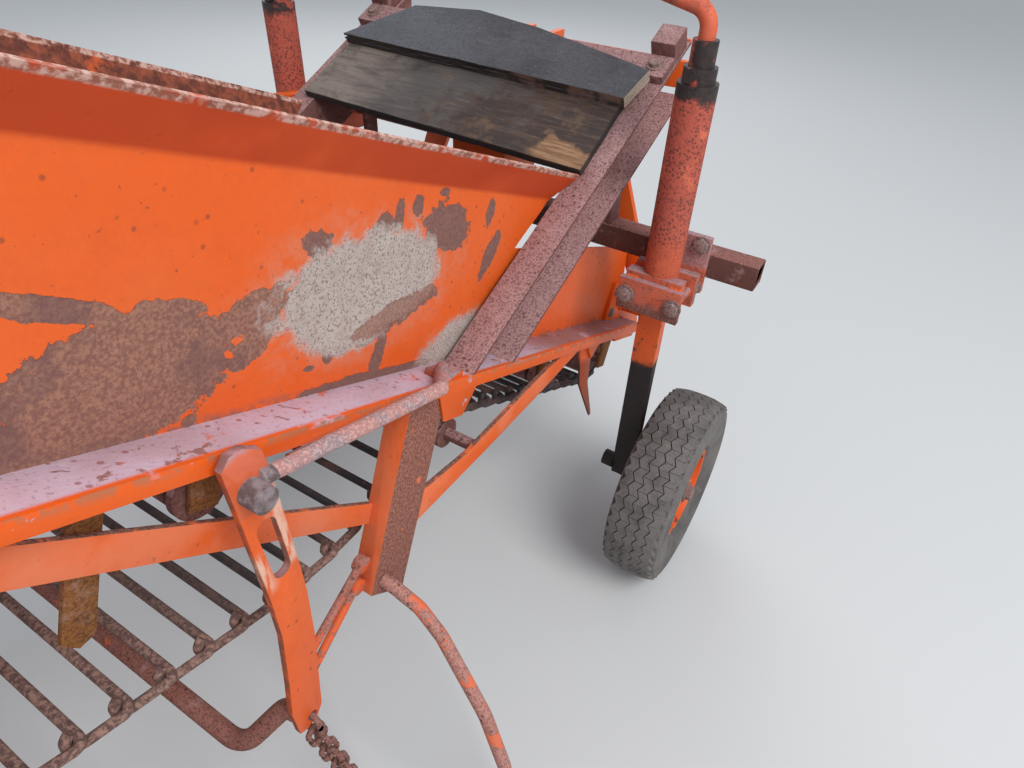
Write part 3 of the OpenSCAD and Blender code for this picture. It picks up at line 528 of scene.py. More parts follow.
def flange_finish():
    # the lilac grey ground is rust with a painted reflection of the sky in it
    finish = Finish("flange_rust", (198, 174, 188), 0.8).dull(0.3)
    u, n = on_slope(finish)
    wide = finish.noise(9, 5, 0.6)
    finish.layer(finish.step(wide, 0.46, 0.66) * 0.6, (184, 148, 154))
    # bluish white patches: a painted reflection of the sky
    finish.layer(finish.patches(0.58, 0.72, 24, 5, 0.7) * 0.5, (196, 196, 214), 0.75)
    forward = finish.step(u + wide * 0.10, -0.42, -0.30)
    finish.layer(forward * finish.patches(0.30, 0.50, 15, 5, 0.7) * 0.85, (150, 98, 88), 0.85)
    scab = finish.patches(0.61, 0.66, 42, 5, 0.62, 0.6)
    finish.layer(scab * 0.85, (140, 90, 78), 0.9, lift=0.4)
    freckle = finish.patches(0.58, 0.68, 230, 3, 0.6)
    finish.layer(freckle * 0.45, (140, 98, 94), lift=0.2)
    spots = finish.step(finish.cells(62), 0.22, 0.12) * finish.patches(0.40, 0.52, 12, 4)
    finish.layer(spots * 0.75, (146, 92, 84), 0.9, lift=0.3)
    kept = finish.patches(0.60, 0.63, 19, 6, 0.72, 0.4)
    finish.layer(kept * 0.8, (216, 104, 58), 0.55)
    edge = finish.step(n, -0.0026, -0.0052).either(
        finish.step(abs(finish.y), 0.325, 0.331) * finish.step(wide, 0.36, 0.46))
    chipped = finish.patches(0.67, 0.63, 33, 7, 0.7)
    finish.layer(edge * chipped, ORANGE, 0.45, lift=0.2)
    brink = finish.step(abs(finish.y), 0.3322, 0.3345) * finish.step(n, -0.012, -0.001)
    finish.layer(brink * finish.patches(0.42, 0.56, 60, 4) * 0.8, (166, 106, 76), 0.7)
    # near black on the inboard face below the lip
    dark_below_lip = finish.step(n + finish.noise(60, 3) * 0.02, -0.040, -0.060)
    finish.layer(dark_below_lip * finish.step(abs(finish.y), 0.3175, 0.3165), (44, 34, 34), 0.6)
    finish.raise_by(finish.noise(70, 4, 0.7) * 0.8 + finish.noise(260, 2) * 0.3)
    return finish.done()


# the beams and the cross bar get painted shade on their upright faces
beam_rust = granular_rust("beam_rust", (170, 130, 128), (92, 62, 60), side=(112, 72, 64))
bar_rust = granular_rust("bar_rust", (146, 98, 90), (88, 56, 50), side=(90, 56, 50))
rod_rust = granular_rust("rod_rust", (176, 116, 102), (112, 70, 60), (218, 98, 54), 0.52)
chain_rust = granular_rust("chain_rust", (146, 104, 94), (88, 58, 52))
hoop_rust = granular_rust("hoop_rust", (150, 100, 88), (94, 60, 54), (206, 98, 60), 0.60)
bent_rust = granular_rust("bent_rust", (184, 132, 120), (122, 82, 74), (220, 112, 78), 0.52)
plate_rust = granular_rust("plate_rust", (134, 86, 44), (82, 50, 32))
flange_rust = flange_finish()
print("seven rusts of one kind, and the flange rails'")

# %% [markdown]
# The working parts wear two finishes each: a painted plate with a rusty pin, a leg whose lower
# half is black with grease, a lever that hands and chain have rubbed pale beside its slot.

# %% Hitch stubs, legs and levers
def hitch_finish():
    """Orange stubs with rusty pins."""
    finish = orange_ground("hitch_paint", 0.7, 0.60, 10)
    pins = within(finish, y=(0.3418, None))
    grain = finish.patches(0.40, 0.62, 140, 4, 0.75)
    finish.layer(pins, finish.mix(grain, (172, 104, 80), (112, 70, 60)), 0.88)
    finish.raise_by(pins * grain * 0.5)
    return finish.done()


def leg_finish():
    """The sliding leg: painted where it slid in the tube, black and greasy below."""
    finish = orange_ground("leg_paint", 0.7, 0.56, 12)
    wave = finish.noise(30, 4) * 0.03
    low = finish.step(finish.z + wave, 0.505, 0.490)
    dark = finish.mix(finish.noise(60, 5, 0.7), (26, 22, 25), (52, 42, 40))
    finish.layer(low, dark, 0.62, lift=0.2)
    return finish.done()


def lever_finish():
    """Orange plate, worn pale beside the slot, with a painted lilac sky reflection on top and
    painted shade on its edges; pinkish rod and grey boss.
    """
    finish = orange_ground("lever_paint", 0.6, 0.66, 10)
    streak = finish.streaks((90, 90, 14), 4, 0.7)
    right_arm = within(finish, 0.008, x=(-0.278, -0.240), z=(0.672, 0.790))
    left_arm = within(finish, 0.010, x=(-0.330, -0.291), z=(0.655, 0.712))
    worn = right_arm.either(left_arm) * finish.step(streak, 0.34, 0.52)
    finish.layer(worn * 0.75, (224, 194, 172), 0.6)
    # the top and the upward faces: a painted lilac reflection of the sky
    top = finish.step(finish.z + finish.noise(40, 4) * 0.02, 0.846, 0.858)
    finish.layer(top.either(upward(finish)) * 0.8, (176, 148, 158), 0.8)
    # the plate's edge faces: painted shade, in brown patches of rust
    rim = finish.step(abs(finish.normal(1)), 0.75, 0.45) * within(
        finish, 0.0002, y=(None, 0.3532))
    finish.layer(rim * finish.patches(0.36, 0.56, 40, 4) * 0.75, (122, 84, 72), 0.8)
    iron = within(finish, 0.0003, y=(0.3534, None)).either(
        within(finish, 0.0005, x=(-0.200, None), y=(0.314, None), z=(0.700, None)))
    grain = finish.patches(0.42, 0.58, 300, 4, 0.7)
    patch = finish.patches(0.44, 0.60, 30, 5, 0.7)
    pink = finish.mix(patch, finish.mix(grain, (178, 130, 124), (208, 158, 150)),
                      finish.mix(grain, (150, 126, 128), (186, 160, 160)))
    finish.layer(iron, pink, 0.85)
    boss = within(finish, 0.001, x=(None, -0.262), y=(0.3534, None), z=(0.770, None))
    finish.layer(boss, finish.mix(patch, (104, 86, 84), (148, 134, 136)), 0.8)
    finish.raise_by(iron * grain * 0.4)
    return finish.done()


hitch_paint = hitch_finish()
leg_paint = leg_finish()
lever_paint = lever_finish()
print("hitch, leg and lever")

# %% [markdown]
# The post's outboard leg has rusted all over, and the bars have rusted where rain stands on them.
# The way that a face looks decides here, so one finish serves both sides of the machine.

# %% Posts and lower bars
def post_finish():
    """The post's outboard leg has rusted all over; its rear leg has kept its paint."""
    finish = orange_ground("post_paint", 0.6, 0.66, 10)
    finish.layer(finish.patches(0.36, 0.56, 11, 4, 0.6) * 0.7, (222, 118, 78), 0.6)
    grain = finish.noise(260, 4, 0.72)
    rusty = outboard(finish) * finish.patches(0.28, 0.34, 40, 4)
    brown = finish.mix(finish.step(grain, 0.38, 0.62), (108, 64, 54), (160, 106, 90))
    finish.layer(rusty, brown, 0.9, lift=-0.2)
    finish.raise_by(grain * 0.3)
    return finish.done()


def bars_finish():
    """Orange bars whose upper edges have rusted."""
    finish = orange_ground("bars_paint", 0.6, 0.64, 10)
    finish.layer(finish.patches(0.40, 0.60, 7, 4, 0.6) * 0.6, (222, 128, 92), 0.6)
    upper = upward(finish, 0.30, 0.55) * finish.patches(0.38, 0.48, 30, 5, 0.7)
    grain = finish.patches(0.40, 0.60, 260, 4, 0.72)
    finish.layer(upper, finish.mix(grain, (96, 66, 58), (150, 106, 88)), 0.9)
    return finish.done()


post_paint = post_finish()
bars_paint = bars_finish()
print("posts and bars")

# %% [markdown]
# The struts are handled most. Their tubes keep a thin salmon coat under the rust and are black with
# grease at the mouth, the cranks are rubbed, and the clamps' upper faces are rusty with a painted
# lilac reflection of the sky. Each is a ground colour with a few kinds of patches, at the sizes
# that they have on the machine.

# %% Strut tubes, cranks and clamps
def strut_finish():
    """Salmon rust, and black grease on the collar and the mouth of the tube."""
    finish = Finish("strut_rust", (184, 90, 72), 0.8).dull(0.3)
    grain = finish.noise(240, 4, 0.7)
    finish.layer(finish.step(grain, 0.52, 0.62) * 0.7, (136, 72, 62), lift=-0.2)
    spots = finish.step(finish.cells(170), 0.46, 0.26) * finish.patches(0.34, 0.48, 22, 4)
    finish.layer(spots * 0.85, (112, 60, 54), lift=-0.3)
    finish.layer(finish.patches(0.58, 0.66, 18, 6, 0.7) * 0.7, (218, 112, 82), 0.6)
    scab = finish.patches(0.56, 0.62, 62, 6, 0.72)
    finish.layer(scab * 0.55, (118, 70, 62), 0.85, lift=0.2)
    low = finish.step(finish.z + finish.noise(20, 4) * 0.06, 0.800, 0.740)
    finish.layer(low * 0.45, (206, 92, 50), 0.6)
    greasy = finish.step(finish.z + finish.noise(45, 4, 0.6) * 0.06, 0.992, 1.008)
    black = finish.mix(finish.noise(90, 4), (26, 22, 24), (74, 62, 60))
    finish.layer(greasy * finish.patches(0.66, 0.54, 26, 3), black, 0.5, lift=0.5)
    finish.raise_by(grain * 0.4 + finish.noise(50, 4) * 0.6)
    return finish.done()


def crank_finish():
    """Faded salmon paint, browned where no hand rubs it."""
    finish = orange_ground("crank_paint", 0.8, 0.56, 16)
    finish.layer(finish.patches(0.30, 0.52, 24, 5, 0.7) * 0.85, (204, 100, 76), 0.6)
    finish.layer(finish.patches(0.54, 0.64, 150, 4, 0.7) * 0.5, (150, 84, 70), 0.8)
    return finish.done()


def clamp_finish():
    """Worn salmon plates, lilac where rain stands, partly as a painted reflection of the sky, with
    grey bolt heads.
    """
    finish = orange_ground("clamp_paint", 0.7, 0.62, 18)
    patch = finish.noise(38, 5, 0.7)
    grain = finish.patches(0.40, 0.60, 260, 4, 0.72)
    finish.layer(finish.step(patch, 0.28, 0.50) * 0.8, (196, 98, 74), 0.7)
    finish.layer(grain * 0.35, (150, 84, 70), 0.8)
    blotch = finish.patches(0.52, 0.60, 75, 6, 0.7)
    finish.layer(blotch * 0.6, (122, 74, 64), 0.85, lift=-0.2)
    low = finish.step(finish.z + patch * 0.04, 0.654, 0.638) * within(finish, x=(None, 0.500))
    finish.layer(low * 0.85, finish.mix(grain, (84, 58, 52), (134, 96, 86)), 0.9, lift=-0.2)
    bar_plate = within(finish, 0.006, x=(0.560, None), z=(0.676, None))
    finish.layer(bar_plate * 0.75, finish.mix(grain, (150, 108, 108), (184, 150, 154)), 0.85)
    # upward faces: rust where rain stands, made lilac by a painted reflection of the sky
    finish.layer(upward(finish) * 0.85, finish.mix(grain, (150, 116, 120), (178, 146, 150)), 0.85)
    heads = within(finish, 0.0003, x=(None, 0.4838)).either(
        within(finish, 0.0003, x=(0.5655, 0.5747), y=(0.468, 0.491)))
    finish.layer(heads, finish.mix(grain, (112, 90, 88), (166, 142, 138)), 0.8)
    finish.raise_by(grain * 0.3)
    return finish.done()


strut_rust = strut_finish()
crank_paint = crank_finish()
clamp_paint = clamp_finish()
print("struts, cranks and clamps")

# %% [markdown]
# The iron that works in the soil is dark: rods that are polished in front and browned behind, and a
# share whose edge is bright. The tyres are dusty grey-brown rubber, with darker stains.

# %% Dark iron, bright iron and rubber
def dark_rod_finish():
    finish = Finish("web_rod", (58, 52, 54), 0.55, 0.3)
    wide = finish.noise(12, 5, 0.7)
    finish.layer(finish.step(wide, 0.48, 0.66), (100, 76, 70), 0.85, 0.0, lift=0.3)
    back = finish.step(finish.x + wide * 0.2, -0.12, -0.30)
    ends = finish.step(abs(finish.y), 0.236, 0.246) * finish.step(finish.x + wide * 0.2, 0.15, 0.0)
    flecks = finish.patches(0.42, 0.60, 170, 4, 0.7)
    rust = finish.mix(flecks, (98, 72, 66), (158, 122, 108))
    finish.layer(back.either(ends) * 0.85, rust, 0.9, 0.0)
    finish.layer(finish.patches(0.56, 0.66, 180, 4, 0.7) * 0.7, (54, 40, 38), 0.9, 0.0)
    finish.layer(finish.patches(0.62, 0.72, 50, 4, 0.7) * 0.6, (152, 112, 98), 0.9, 0.0)
    finish.raise_by(finish.noise(200, 3) * 0.4)
    return finish.done()


def share_finish():
    finish = Finish("share_steel", (132, 104, 92), 0.6, 0.4)
    finish.layer(finish.patches(0.46, 0.62, 70, 5, 0.7), (92, 62, 52), 0.85, 0.0, lift=0.3)
    bright = finish.step(finish.x + finish.noise(20, 4) * 0.06, 0.862, 0.900)
    finish.layer(bright * 0.85, (176, 170, 164), 0.34, 0.9)
    return finish.done()


def rubber_finish(name, base=(112, 106, 104), groove=(60, 56, 55)):
    finish = Finish(name, base, 0.85)
    dust = finish.noise(17, 6, 0.7)
    finish.layer(finish.step(dust, 0.42, 0.70) * 0.6, groove)
    finish.layer(finish.patches(0.46, 0.60, 5, 3, 0.6) * 0.55, groove)
    finish.layer(finish.patches(0.56, 0.72, 44, 5, 0.7) * 0.45, (138, 130, 126), 0.92)
    finish.layer(finish.patches(0.56, 0.66, 190, 3) * 0.35, (70, 62, 57))
    finish.raise_by(finish.noise(240, 3) * 0.25 + finish.noise(30, 4) * 0.3)
    return finish.done()


web_rod_steel = dark_rod_finish()
share_steel = share_finish()
front_rubber = rubber_finish("front_rubber")
rear_rubber = rubber_finish("rear_rubber", (102, 96, 93), (56, 52, 50))
print("steel and rubber")

# %% [markdown]
# The upper board is a blackened sheet of plywood, the lower one a grey-brown plank. Wood differs
# from iron in that it runs one way: its grain is noise stretched along the board, and its broken
# rims and end grain are picked out by the way that they face.

# %% Weathered boards
def upper_board_finish():
    """Blackened plywood, bluish where it is clean, brown and split along the near edge."""
    finish = Finish("upper_board_wood", (77, 76, 81), 0.85)
    cloud = finish.noise(7, 5, 0.65)
    finish.layer(finish.step(cloud, 0.38, 0.60) * 0.8, (54, 52, 57))
    finish.layer(finish.step(finish.y, -0.05, 0.25) * 0.4, (98, 101, 110))
    grain = finish.streaks((190, 24, 190), 5, 0.75)
    finish.layer(finish.step(grain, 0.52, 0.66) * 0.4, (104, 100, 104), 0.9)
    finish.layer(finish.patches(0.54, 0.62, 210, 3) * 0.5, (46, 44, 47))
    finish.layer(finish.patches(0.60, 0.68, 260, 3, 0.6) * 0.5, (112, 108, 110))
    specks = finish.step(finish.cells(34), 0.05, 0.02)
    finish.layer(specks, (150, 150, 154))
    rim = upward(finish, 0.70, 0.45)
    finish.layer(rim, finish.mix(grain, (38, 32, 32), (70, 58, 52)), 0.9)
    torn = rim * finish.patches(0.46, 0.56, 14, 3) * finish.step(finish.y, -0.02, -0.12)
    finish.layer(torn, finish.mix(grain, (104, 76, 66), (142, 110, 96)), 0.9)
    end_grain = finish.step(finish.normal(1), -0.55, -0.80)
    finish.layer(end_grain, finish.mix(grain, (120, 104, 88), (198, 180, 160)), 0.9)
    finish.raise_by(grain * 0.6 + cloud * 1.2)
    return finish.done()


def lower_board_finish():
    """A grey plank, dark brown towards its right end, with a tan broken corner."""
    finish = Finish("lower_board_wood", (82, 75, 73), 0.88)
    spread = finish.noise(9, 5, 0.7)
    finish.layer(finish.step(finish.y + spread * 0.25, 0.22, 0.36) * 0.9, (130, 116, 106))
    finish.layer(finish.patches(0.52, 0.66, 17, 6, 0.75) * 0.55, (72, 66, 60))
    grain = finish.streaks((60, 7, 60), 6, 0.7, 0.8, (0, 0, math.radians(-5)))
    fine = finish.streaks((240, 16, 240), 5, 0.75)
    finish.layer(finish.step(grain, 0.44, 0.66) * 0.6, (62, 56, 52), lift=-0.3)
    cloud = finish.noise(8, 6, 0.68)
    brown = finish.step(cloud - finish.y * 0.9, 0.46, 0.62)
    dark_brown = finish.mix(finish.step(grain, 0.42, 0.62), (52, 36, 31), (84, 62, 50))
    finish.layer(brown * 0.85, dark_brown, 0.9)
    tan = finish.patches(0.55, 0.64, 13, 5, 0.7) * finish.step(finish.y, 0.12, -0.02)
    finish.layer(tan * 0.45, (116, 90, 68))
    smudge = finish.patches(0.56, 0.66, 11, 5, 0.7)
    finish.layer(smudge * 0.7, (48, 43, 44))
    finish.layer(finish.step(fine, 0.55, 0.68) * 0.3, (140, 130, 118), 0.9)
    corner = finish.step(finish.x - finish.y * 0.35 + cloud * 0.10 + fine * 0.03, 0.632, 0.622)
    corner = corner * finish.step(finish.y + cloud * 0.10, -0.150, -0.165)
    fresh_wood = finish.mix(finish.step(fine, 0.40, 0.62), (118, 84, 60), (160, 122, 90))
    finish.layer(corner, fresh_wood, 0.9)
    rim = upward(finish, 0.70, 0.45)
    finish.layer(rim * 0.9, (34, 29, 30), 0.9)
    finish.raise_by(fine * 0.6 + grain * 0.5)
    return finish.done()


upper_wood = upper_board_finish()
lower_wood = lower_board_finish()
print("two boards' finishes")

# %% [markdown]
# Each solid now gets its finish. The names end in right or left where there are two, so a short
# table of stems is enough.

# %% Give the solids their finishes
plain_paint = orange_paint("orange_paint")
rim_paint = orange_paint("rim_paint", 0.56, 14)
guard_paint = orange_paint("guard_paint", 0.60, 6)
FINISHES = {
    "side_sheet": side_sheet_paint, "flange_rail": flange_rust, "main_beam": beam_rust,
    "top_cross_iron": beam_rust, "headstock": plain_paint, "lower_hitch": hitch_paint,
    "deck_board_upper": upper_wood, "deck_board_lower": lower_wood,
    "strut_cross_bar": bar_rust, "strut_clamp": clamp_paint, "strut_tube": strut_rust,
    "crank": crank_paint, "depth_leg": leg_paint, "front_tyre": front_rubber,
    "front_rim": rim_paint, "post": post_paint, "lower_bars": bars_paint,
    "hanger_lever": lever_paint, "lever_links": rod_rust, "hoop_bar": hoop_rust,
    "hang_chain": chain_rust, "rod_web": web_rod_steel, "web_rollers": beam_rust,
    "drive_shaft": beam_rust, "roller_hangers": plate_rust, "share": share_steel,
    "share_cheeks": plain_paint, "gearbox": plain_paint, "input_shaft": share_steel,
    "cross_shaft": beam_rust, "drive_guard": guard_paint, "rear_leg": plain_paint,
    "rear_cross_tube": plain_paint, "rear_tyre": rear_rubber, "rear_rim": rim_paint,
    "side_rod": bent_rust}


def stem(name):
    return name.removesuffix("_right").removesuffix("_left")


for name, solid in cad.items():
    solid.data.materials.clear()
    solid.data.materials.append(FINISHES[stem(name)])
print("finishes on", len(cad), "solids")

# %% [markdown]
# A piece made here rides on the body that carries it and gets its finish; keep does that for all of
# them and sets which edges shade sharp, and stand_for also hides the solid that a piece stands for.

# %% From a mesh to a piece
body_of = {node: body for body, nodes in frame["record"]["behaviour"]["bodies"].items()
           for node in nodes}


def as_mesh(shape, name):
    mesh = bpy.data.meshes.new(name)
    shape.to_mesh(mesh)
    shape.free()
    return mesh


def keep(name, shape, finish, body, crease=32):
    """Turns a bmesh or mesh into a finished piece that rides on a body."""
    mesh = as_mesh(shape, name) if isinstance(shape, bmesh.types.BMesh) else shape
    soft = bmesh.new()
    soft.from_mesh(mesh)
    for face in soft.faces:
        face.smooth = True
    for edge in soft.edges:
        edge.smooth = edge.is_manifold and edge.calc_face_angle(0) < math.radians(crease)
    soft.to_mesh(mesh)
    soft.free()
    mesh.materials.clear()
    mesh.materials.append(finish)
    piece = bpy.data.objects.new(name, mesh)
    scene.collection.objects.link(piece)
    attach(piece, body)
    return piece


def stand_for(name, shape, finish=None, crease=32):
    """Keeps a piece that stands for one CAD node."""
    piece = keep(name + "_look", shape, finish or FINISHES[stem(name)], body_of[name],
                 crease)
    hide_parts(name)
    return piece


# %% [markdown]
# Solids have knife-sharp edges and real plates don't. Most plates and blocks are therefore shown
# by a copy of their solid whose triangles are merged back into flat faces and whose sharp edges
# are rounded by about a millimetre, so that each edge catches a line of light.

# %% Rounded copies of the plates
def clean_copy(name):
    """The solid's mesh with its loose triangles joined into flat faces."""
    shape = bmesh.new()
    shape.from_mesh(cad[name].data)
    bmesh.ops.remove_doubles(shape, verts=shape.verts, dist=1e-5)
    bmesh.ops.dissolve_limit(
        shape, angle_limit=math.radians(1.0), verts=shape.verts, edges=shape.edges)
    return shape


# how far each edge is rounded, in millimetres
ROUNDED = {
    "main_beam": 2.0, "top_cross_iron": 1.0, "headstock": 1.5, "lower_hitch": 1.5,
    "strut_cross_bar": 3.0, "strut_clamp": 1.2, "post": 1.5, "lower_bars": 1.2,
    "hanger_lever": 1.2, "roller_hangers": 1.0, "share": 0.8, "share_cheeks": 1.2,
    "drive_guard": 2.0, "rear_leg": 3.0, "rear_cross_tube": 3.0, "flange_rail": 1.0,
    "depth_leg": 1.5, "lever_links": 1.0, "front_rim": 1.5, "rear_rim": 1.5, "drive_shaft": 0.8,
    "gearbox": 9.0}
faces = 0
for name in sorted(cad):
    if stem(name) in ROUNDED:
        shape = clean_copy(name)
        sharp = [e for e in shape.edges
                 if e.is_manifold and e.calc_face_angle(0) > math.radians(32)]
        bmesh.ops.bevel(
            shape, geom=sharp, offset=ROUNDED[stem(name)] / 1000, offset_type="OFFSET",
            segments=2, profile=0.5, affect="EDGES", clamp_overlap=True)
        faces += len(shape.faces)
        stand_for(name, shape)
print("rounded copies with", faces, "faces")

# %% [markdown]
# A side sheet is thin and has been leaned on: the band above the fold waves in and out, the wall
# below has a few shallow dents, and the fold itself is a soft bend. The copy of the sheet is cut
# into a fine grid, both faces are pushed the same way by smooth noise, and the rows next to the
# fold are relaxed so that the bend becomes round.

# %% Dented side sheets
FOLD_N = 0.238
# along the slope, square to it, reach, depth inward
SHEET_DENTS = [(-0.86, 0.110, 0.11, 0.0040), (-0.36, 0.180, 0.09, 0.0030),
               (-1.30, 0.150, 0.10, 0.0035), (-0.62, 0.265, 0.06, 0.0050),
               (-1.05, 0.270, 0.05, 0.0040), (-1.42, 0.265, 0.07, 0.0060)]
# height of the wave, its size along and square to the slope, seed, on the band alone
SHEET_WAVES = [(0.0022, 4.0, 6.0, 0.0, False), (0.0010, 13.0, 16.0, 5.0, False),
               (0.0038, 7.0, 0.0, 9.0, True), (0.0018, 21.0, 0.0, 2.0, True)]
# the grid: cuts along the sheet, and rows that lie closer near the fold
SHEET_CUTS = [-1.62 + 0.014 * k for k in range(1, 121)]
SHEET_ROWS = [*(0.012 * k for k in range(1, 19)), 0.222, 0.230, 0.2345, 0.2415, 0.246, 0.252,
              *(0.258 + 0.007 * k for k in range(4))]
ALONG = Vector((math.cos(SLOPE), 0, -math.sin(SLOPE)))
SQUARE = Vector((math.sin(SLOPE), 0, math.cos(SLOPE)))
SLOPE_START = Vector((SLOPE_X, 0, SLOPE_Z))


def sheet_push(u, n, seed):
    """How far a point of a sheet is pushed outwards."""
    free = max(0.0, min(1.0, n / 0.06))
    band = max(0.0, (n - FOLD_N) / 0.045)
    push = sum(height * (band if on_band else free)
               * noise.noise(Vector((u * size_u, n * size_n, seed + more)))
               for height, size_u, size_n, more, on_band in SHEET_WAVES)
    for dent_u, dent_n, reach, depth in SHEET_DENTS:
        gap = math.hypot(u - dent_u, (n - dent_n) * 1.6) / reach
        if gap < 1:
            push -= depth * (1 - gap * gap) ** 2 * free
    return push


def dented_sheet(name, sign, seed):
    shape = clean_copy(name)
    for normal, distance in [(ALONG, u) for u in SHEET_CUTS] + [(SQUARE, n) for n in SHEET_ROWS]:
        bmesh.ops.bisect_plane(
            shape, geom=shape.verts[:] + shape.edges[:] + shape.faces[:], dist=1e-6,
            plane_co=SLOPE_START + normal * distance, plane_no=normal)
    for vert in shape.verts:
        offset = vert.co - SLOPE_START
        vert.co.y += sign * sheet_push(offset.dot(ALONG), offset.dot(SQUARE), seed)
    near_fold = [v for v in shape.verts if not v.is_boundary
                 and abs((v.co - SLOPE_START).dot(SQUARE) - FOLD_N) < 0.010]
    for _ in range(2):
        bmesh.ops.smooth_vert(shape, verts=near_fold, factor=0.5, use_axis_y=True)
    print(name, len(shape.faces), "faces")
    stand_for(name, shape, crease=40)


dented_sheet("side_sheet_right", -1, 3.0)
dented_sheet("side_sheet_left", 1, 41.0)

# %% [markdown]
# Much on this machine repeats or follows a path. Those pieces are grown by Geometry Nodes: a tree
# with named inputs gets a seed mesh, such as a polyline or a handful of points, and returns the
# finished form. `Growth` builds such a tree, and `grow` runs it and keeps the result as a plain
# mesh.

# %% Trees that grow a mesh
class Growth(Tree):
    """A Geometry Nodes tree whose inputs are the seed geometry and named sizes."""

    def __init__(self, name, **inputs):
        group = bpy.data.node_groups.new(name, "GeometryNodeTree")
        super().__init__(group)
        group.interface.new_socket("Seed", in_out="INPUT", socket_type="NodeSocketGeometry")
        group.interface.new_socket("Result", in_out="OUTPUT", socket_type="NodeSocketGeometry")
        for label, kind in {**inputs, "Finish": "Material"}.items():
            group.interface.new_socket(label, in_out="INPUT", socket_type="NodeSocket" + kind)
        start = group.nodes.new("NodeGroupInput")
        self.given = {socket.name: Wire(self, socket) for socket in start.outputs if socket.name}

    def end(self, geometry):
        """Realize Instances, then Set Material, then the output."""
        plain = self.node("GeometryNodeRealizeInstances", {}, {"Geometry": geometry})
        dressed = self.node("GeometryNodeSetMaterial", {}, {
            "Geometry": plain, "Material": self.given["Finish"]})
        self.plug(self.tree.nodes.new("NodeGroupOutput").inputs["Result"], dressed)
        return self

    def place_copies(self, points, copy, rotation, scale=(1, 1, 1)):
        return self.node("GeometryNodeInstanceOnPoints", {}, {
            "Points": points, "Instance": copy, "Rotation": rotation, "Scale": scale})


def grow(growth, seed, name, finish, **sizes):
    """Runs a tree on a seed mesh and returns the result as a plain mesh."""
    carrier = bpy.data.objects.new(name + "_seed", seed)
    scene.collection.objects.link(carrier)
    modifier = carrier.modifiers.new("growth", "NODES")
    modifier.node_group = growth.tree
    for item in growth.tree.interface.items_tree:
        if item.in_out == "INPUT" and item.name in {**sizes, "Finish": 0}:
            modifier[item.identifier] = finish if item.name == "Finish" else sizes[item.name]
    graph = bpy.context.evaluated_depsgraph_get()
    mesh = bpy.data.meshes.new_from_object(carrier.evaluated_get(graph), depsgraph=graph)
    mesh.name = name
    bpy.data.objects.remove(carrier)
    return mesh


def points_mesh(name, points, edges=()):
    """A mesh of bare points, or of points joined by edges."""
    mesh = bpy.data.meshes.new(name)
    mesh.from_pydata([tuple(p) for p in points], list(edges), [])
    return mesh


def polyline(points, closed=False):
    """Points joined one to the next."""
    count = len(points)
    edges = [(i, (i + 1) % count) for i in range(count if closed else count - 1)]
    return points_mesh("polyline", points, edges)


print("trees take a seed mesh and give a plain one")

# %% [markdown]
# Round bar is the commonest shape here: cranks, side rods, the web's links, the chain. It could be
# swept in mesh code, but a fillet on a polyline and a circle swept along it serve for them all.

# %% The tree that bends a rod
bent_rod = Growth("bent_rod", Radius="Float", Bend="Float", Sides="Int")
line = bent_rod.node("GeometryNodeMeshToCurve", {}, {"Mesh": bent_rod.given["Seed"]})
line = bent_rod.node("GeometryNodeFilletCurve", {"mode": "POLY"}, {
    0: line, 1: 7, "Radius": bent_rod.given["Bend"], "Limit Radius": True})
ring = bent_rod.node("GeometryNodeCurvePrimitiveCircle", {}, {
    "Resolution": bent_rod.given["Sides"], "Radius": bent_rod.given["Radius"]})
bent_rod.end(bent_rod.node("GeometryNodeCurveToMesh", {}, {
    "Curve": line, "Profile Curve": ring, "Fill Caps": True}))


def round_bar(name, path, finish, radius, bend_radius, sides):
    """A round bar along a polyline, its corners rounded."""
    return grow(bent_rod, path, name, finish, Radius=radius, Bend=bend_radius, Sides=sides)


print("a tree for bent rods")

# %% [markdown]
# The cranks, the hoop bar and the side rods are round bar bent cold, so each is the bent-rod tree
# on the few points between which the bar runs straight.

# %% Cranks, hoop bar and side rods
SIDES = {"right": -1, "left": 1}
# where the strut, its leg and its wheel stand
LEG_X = 0.527
TUBE_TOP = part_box("strut_tube_right")[1].z
CRANK = [(LEG_X, 0.432, TUBE_TOP), (LEG_X, 0.432, TUBE_TOP + 0.036),
         (0.521, 0.320, TUBE_TOP + 0.062), (0.521, 0.314, TUBE_TOP + 0.150)]
SIDE_ROD = [(-0.120, 0.3315, 0.4560), (-0.120, 0.3435, 0.4560), (-0.112, 0.386, 0.425),
            (-0.116, 0.425, 0.396), (-0.134, 0.511, 0.300), (-0.139, 0.550, 0.200),
            (-0.142, 0.572, 0.090)]
HOOP = [(-0.303, -0.344, 0.409), (-0.303, -0.328, 0.409), (-0.353, -0.285, 0.338),
        (-0.353, 0.285, 0.338), (-0.303, 0.328, 0.409), (-0.303, 0.344, 0.409)]


def mirrored(points, sign):
    return polyline([(x, sign * y, z) for x, y, z in points])


for side, sign in SIDES.items():
    for name, points, finish, sizes in (
            ("crank_", CRANK, crank_paint, (0.0125, 0.030, 20)),
            ("side_rod_", SIDE_ROD, bent_rust, (0.010, 0.050, 18))):
        stand_for(name + side, round_bar(name + side, mirrored(points, sign), finish, *sizes))
stand_for("hoop_bar", round_bar("hoop_bar", polyline(HOOP), hoop_rust, 0.013, 0.045, 20))
print("five bent bars")

# %% [markdown]
# The web is a chain of rods. Each rod's ends are bent forward and curled over the next rod, so
# the links hold each other. The route is worked out here from the same round sizes as the
# rollers: up over the drive sprockets, down the trough, round the nose and back with some slack.

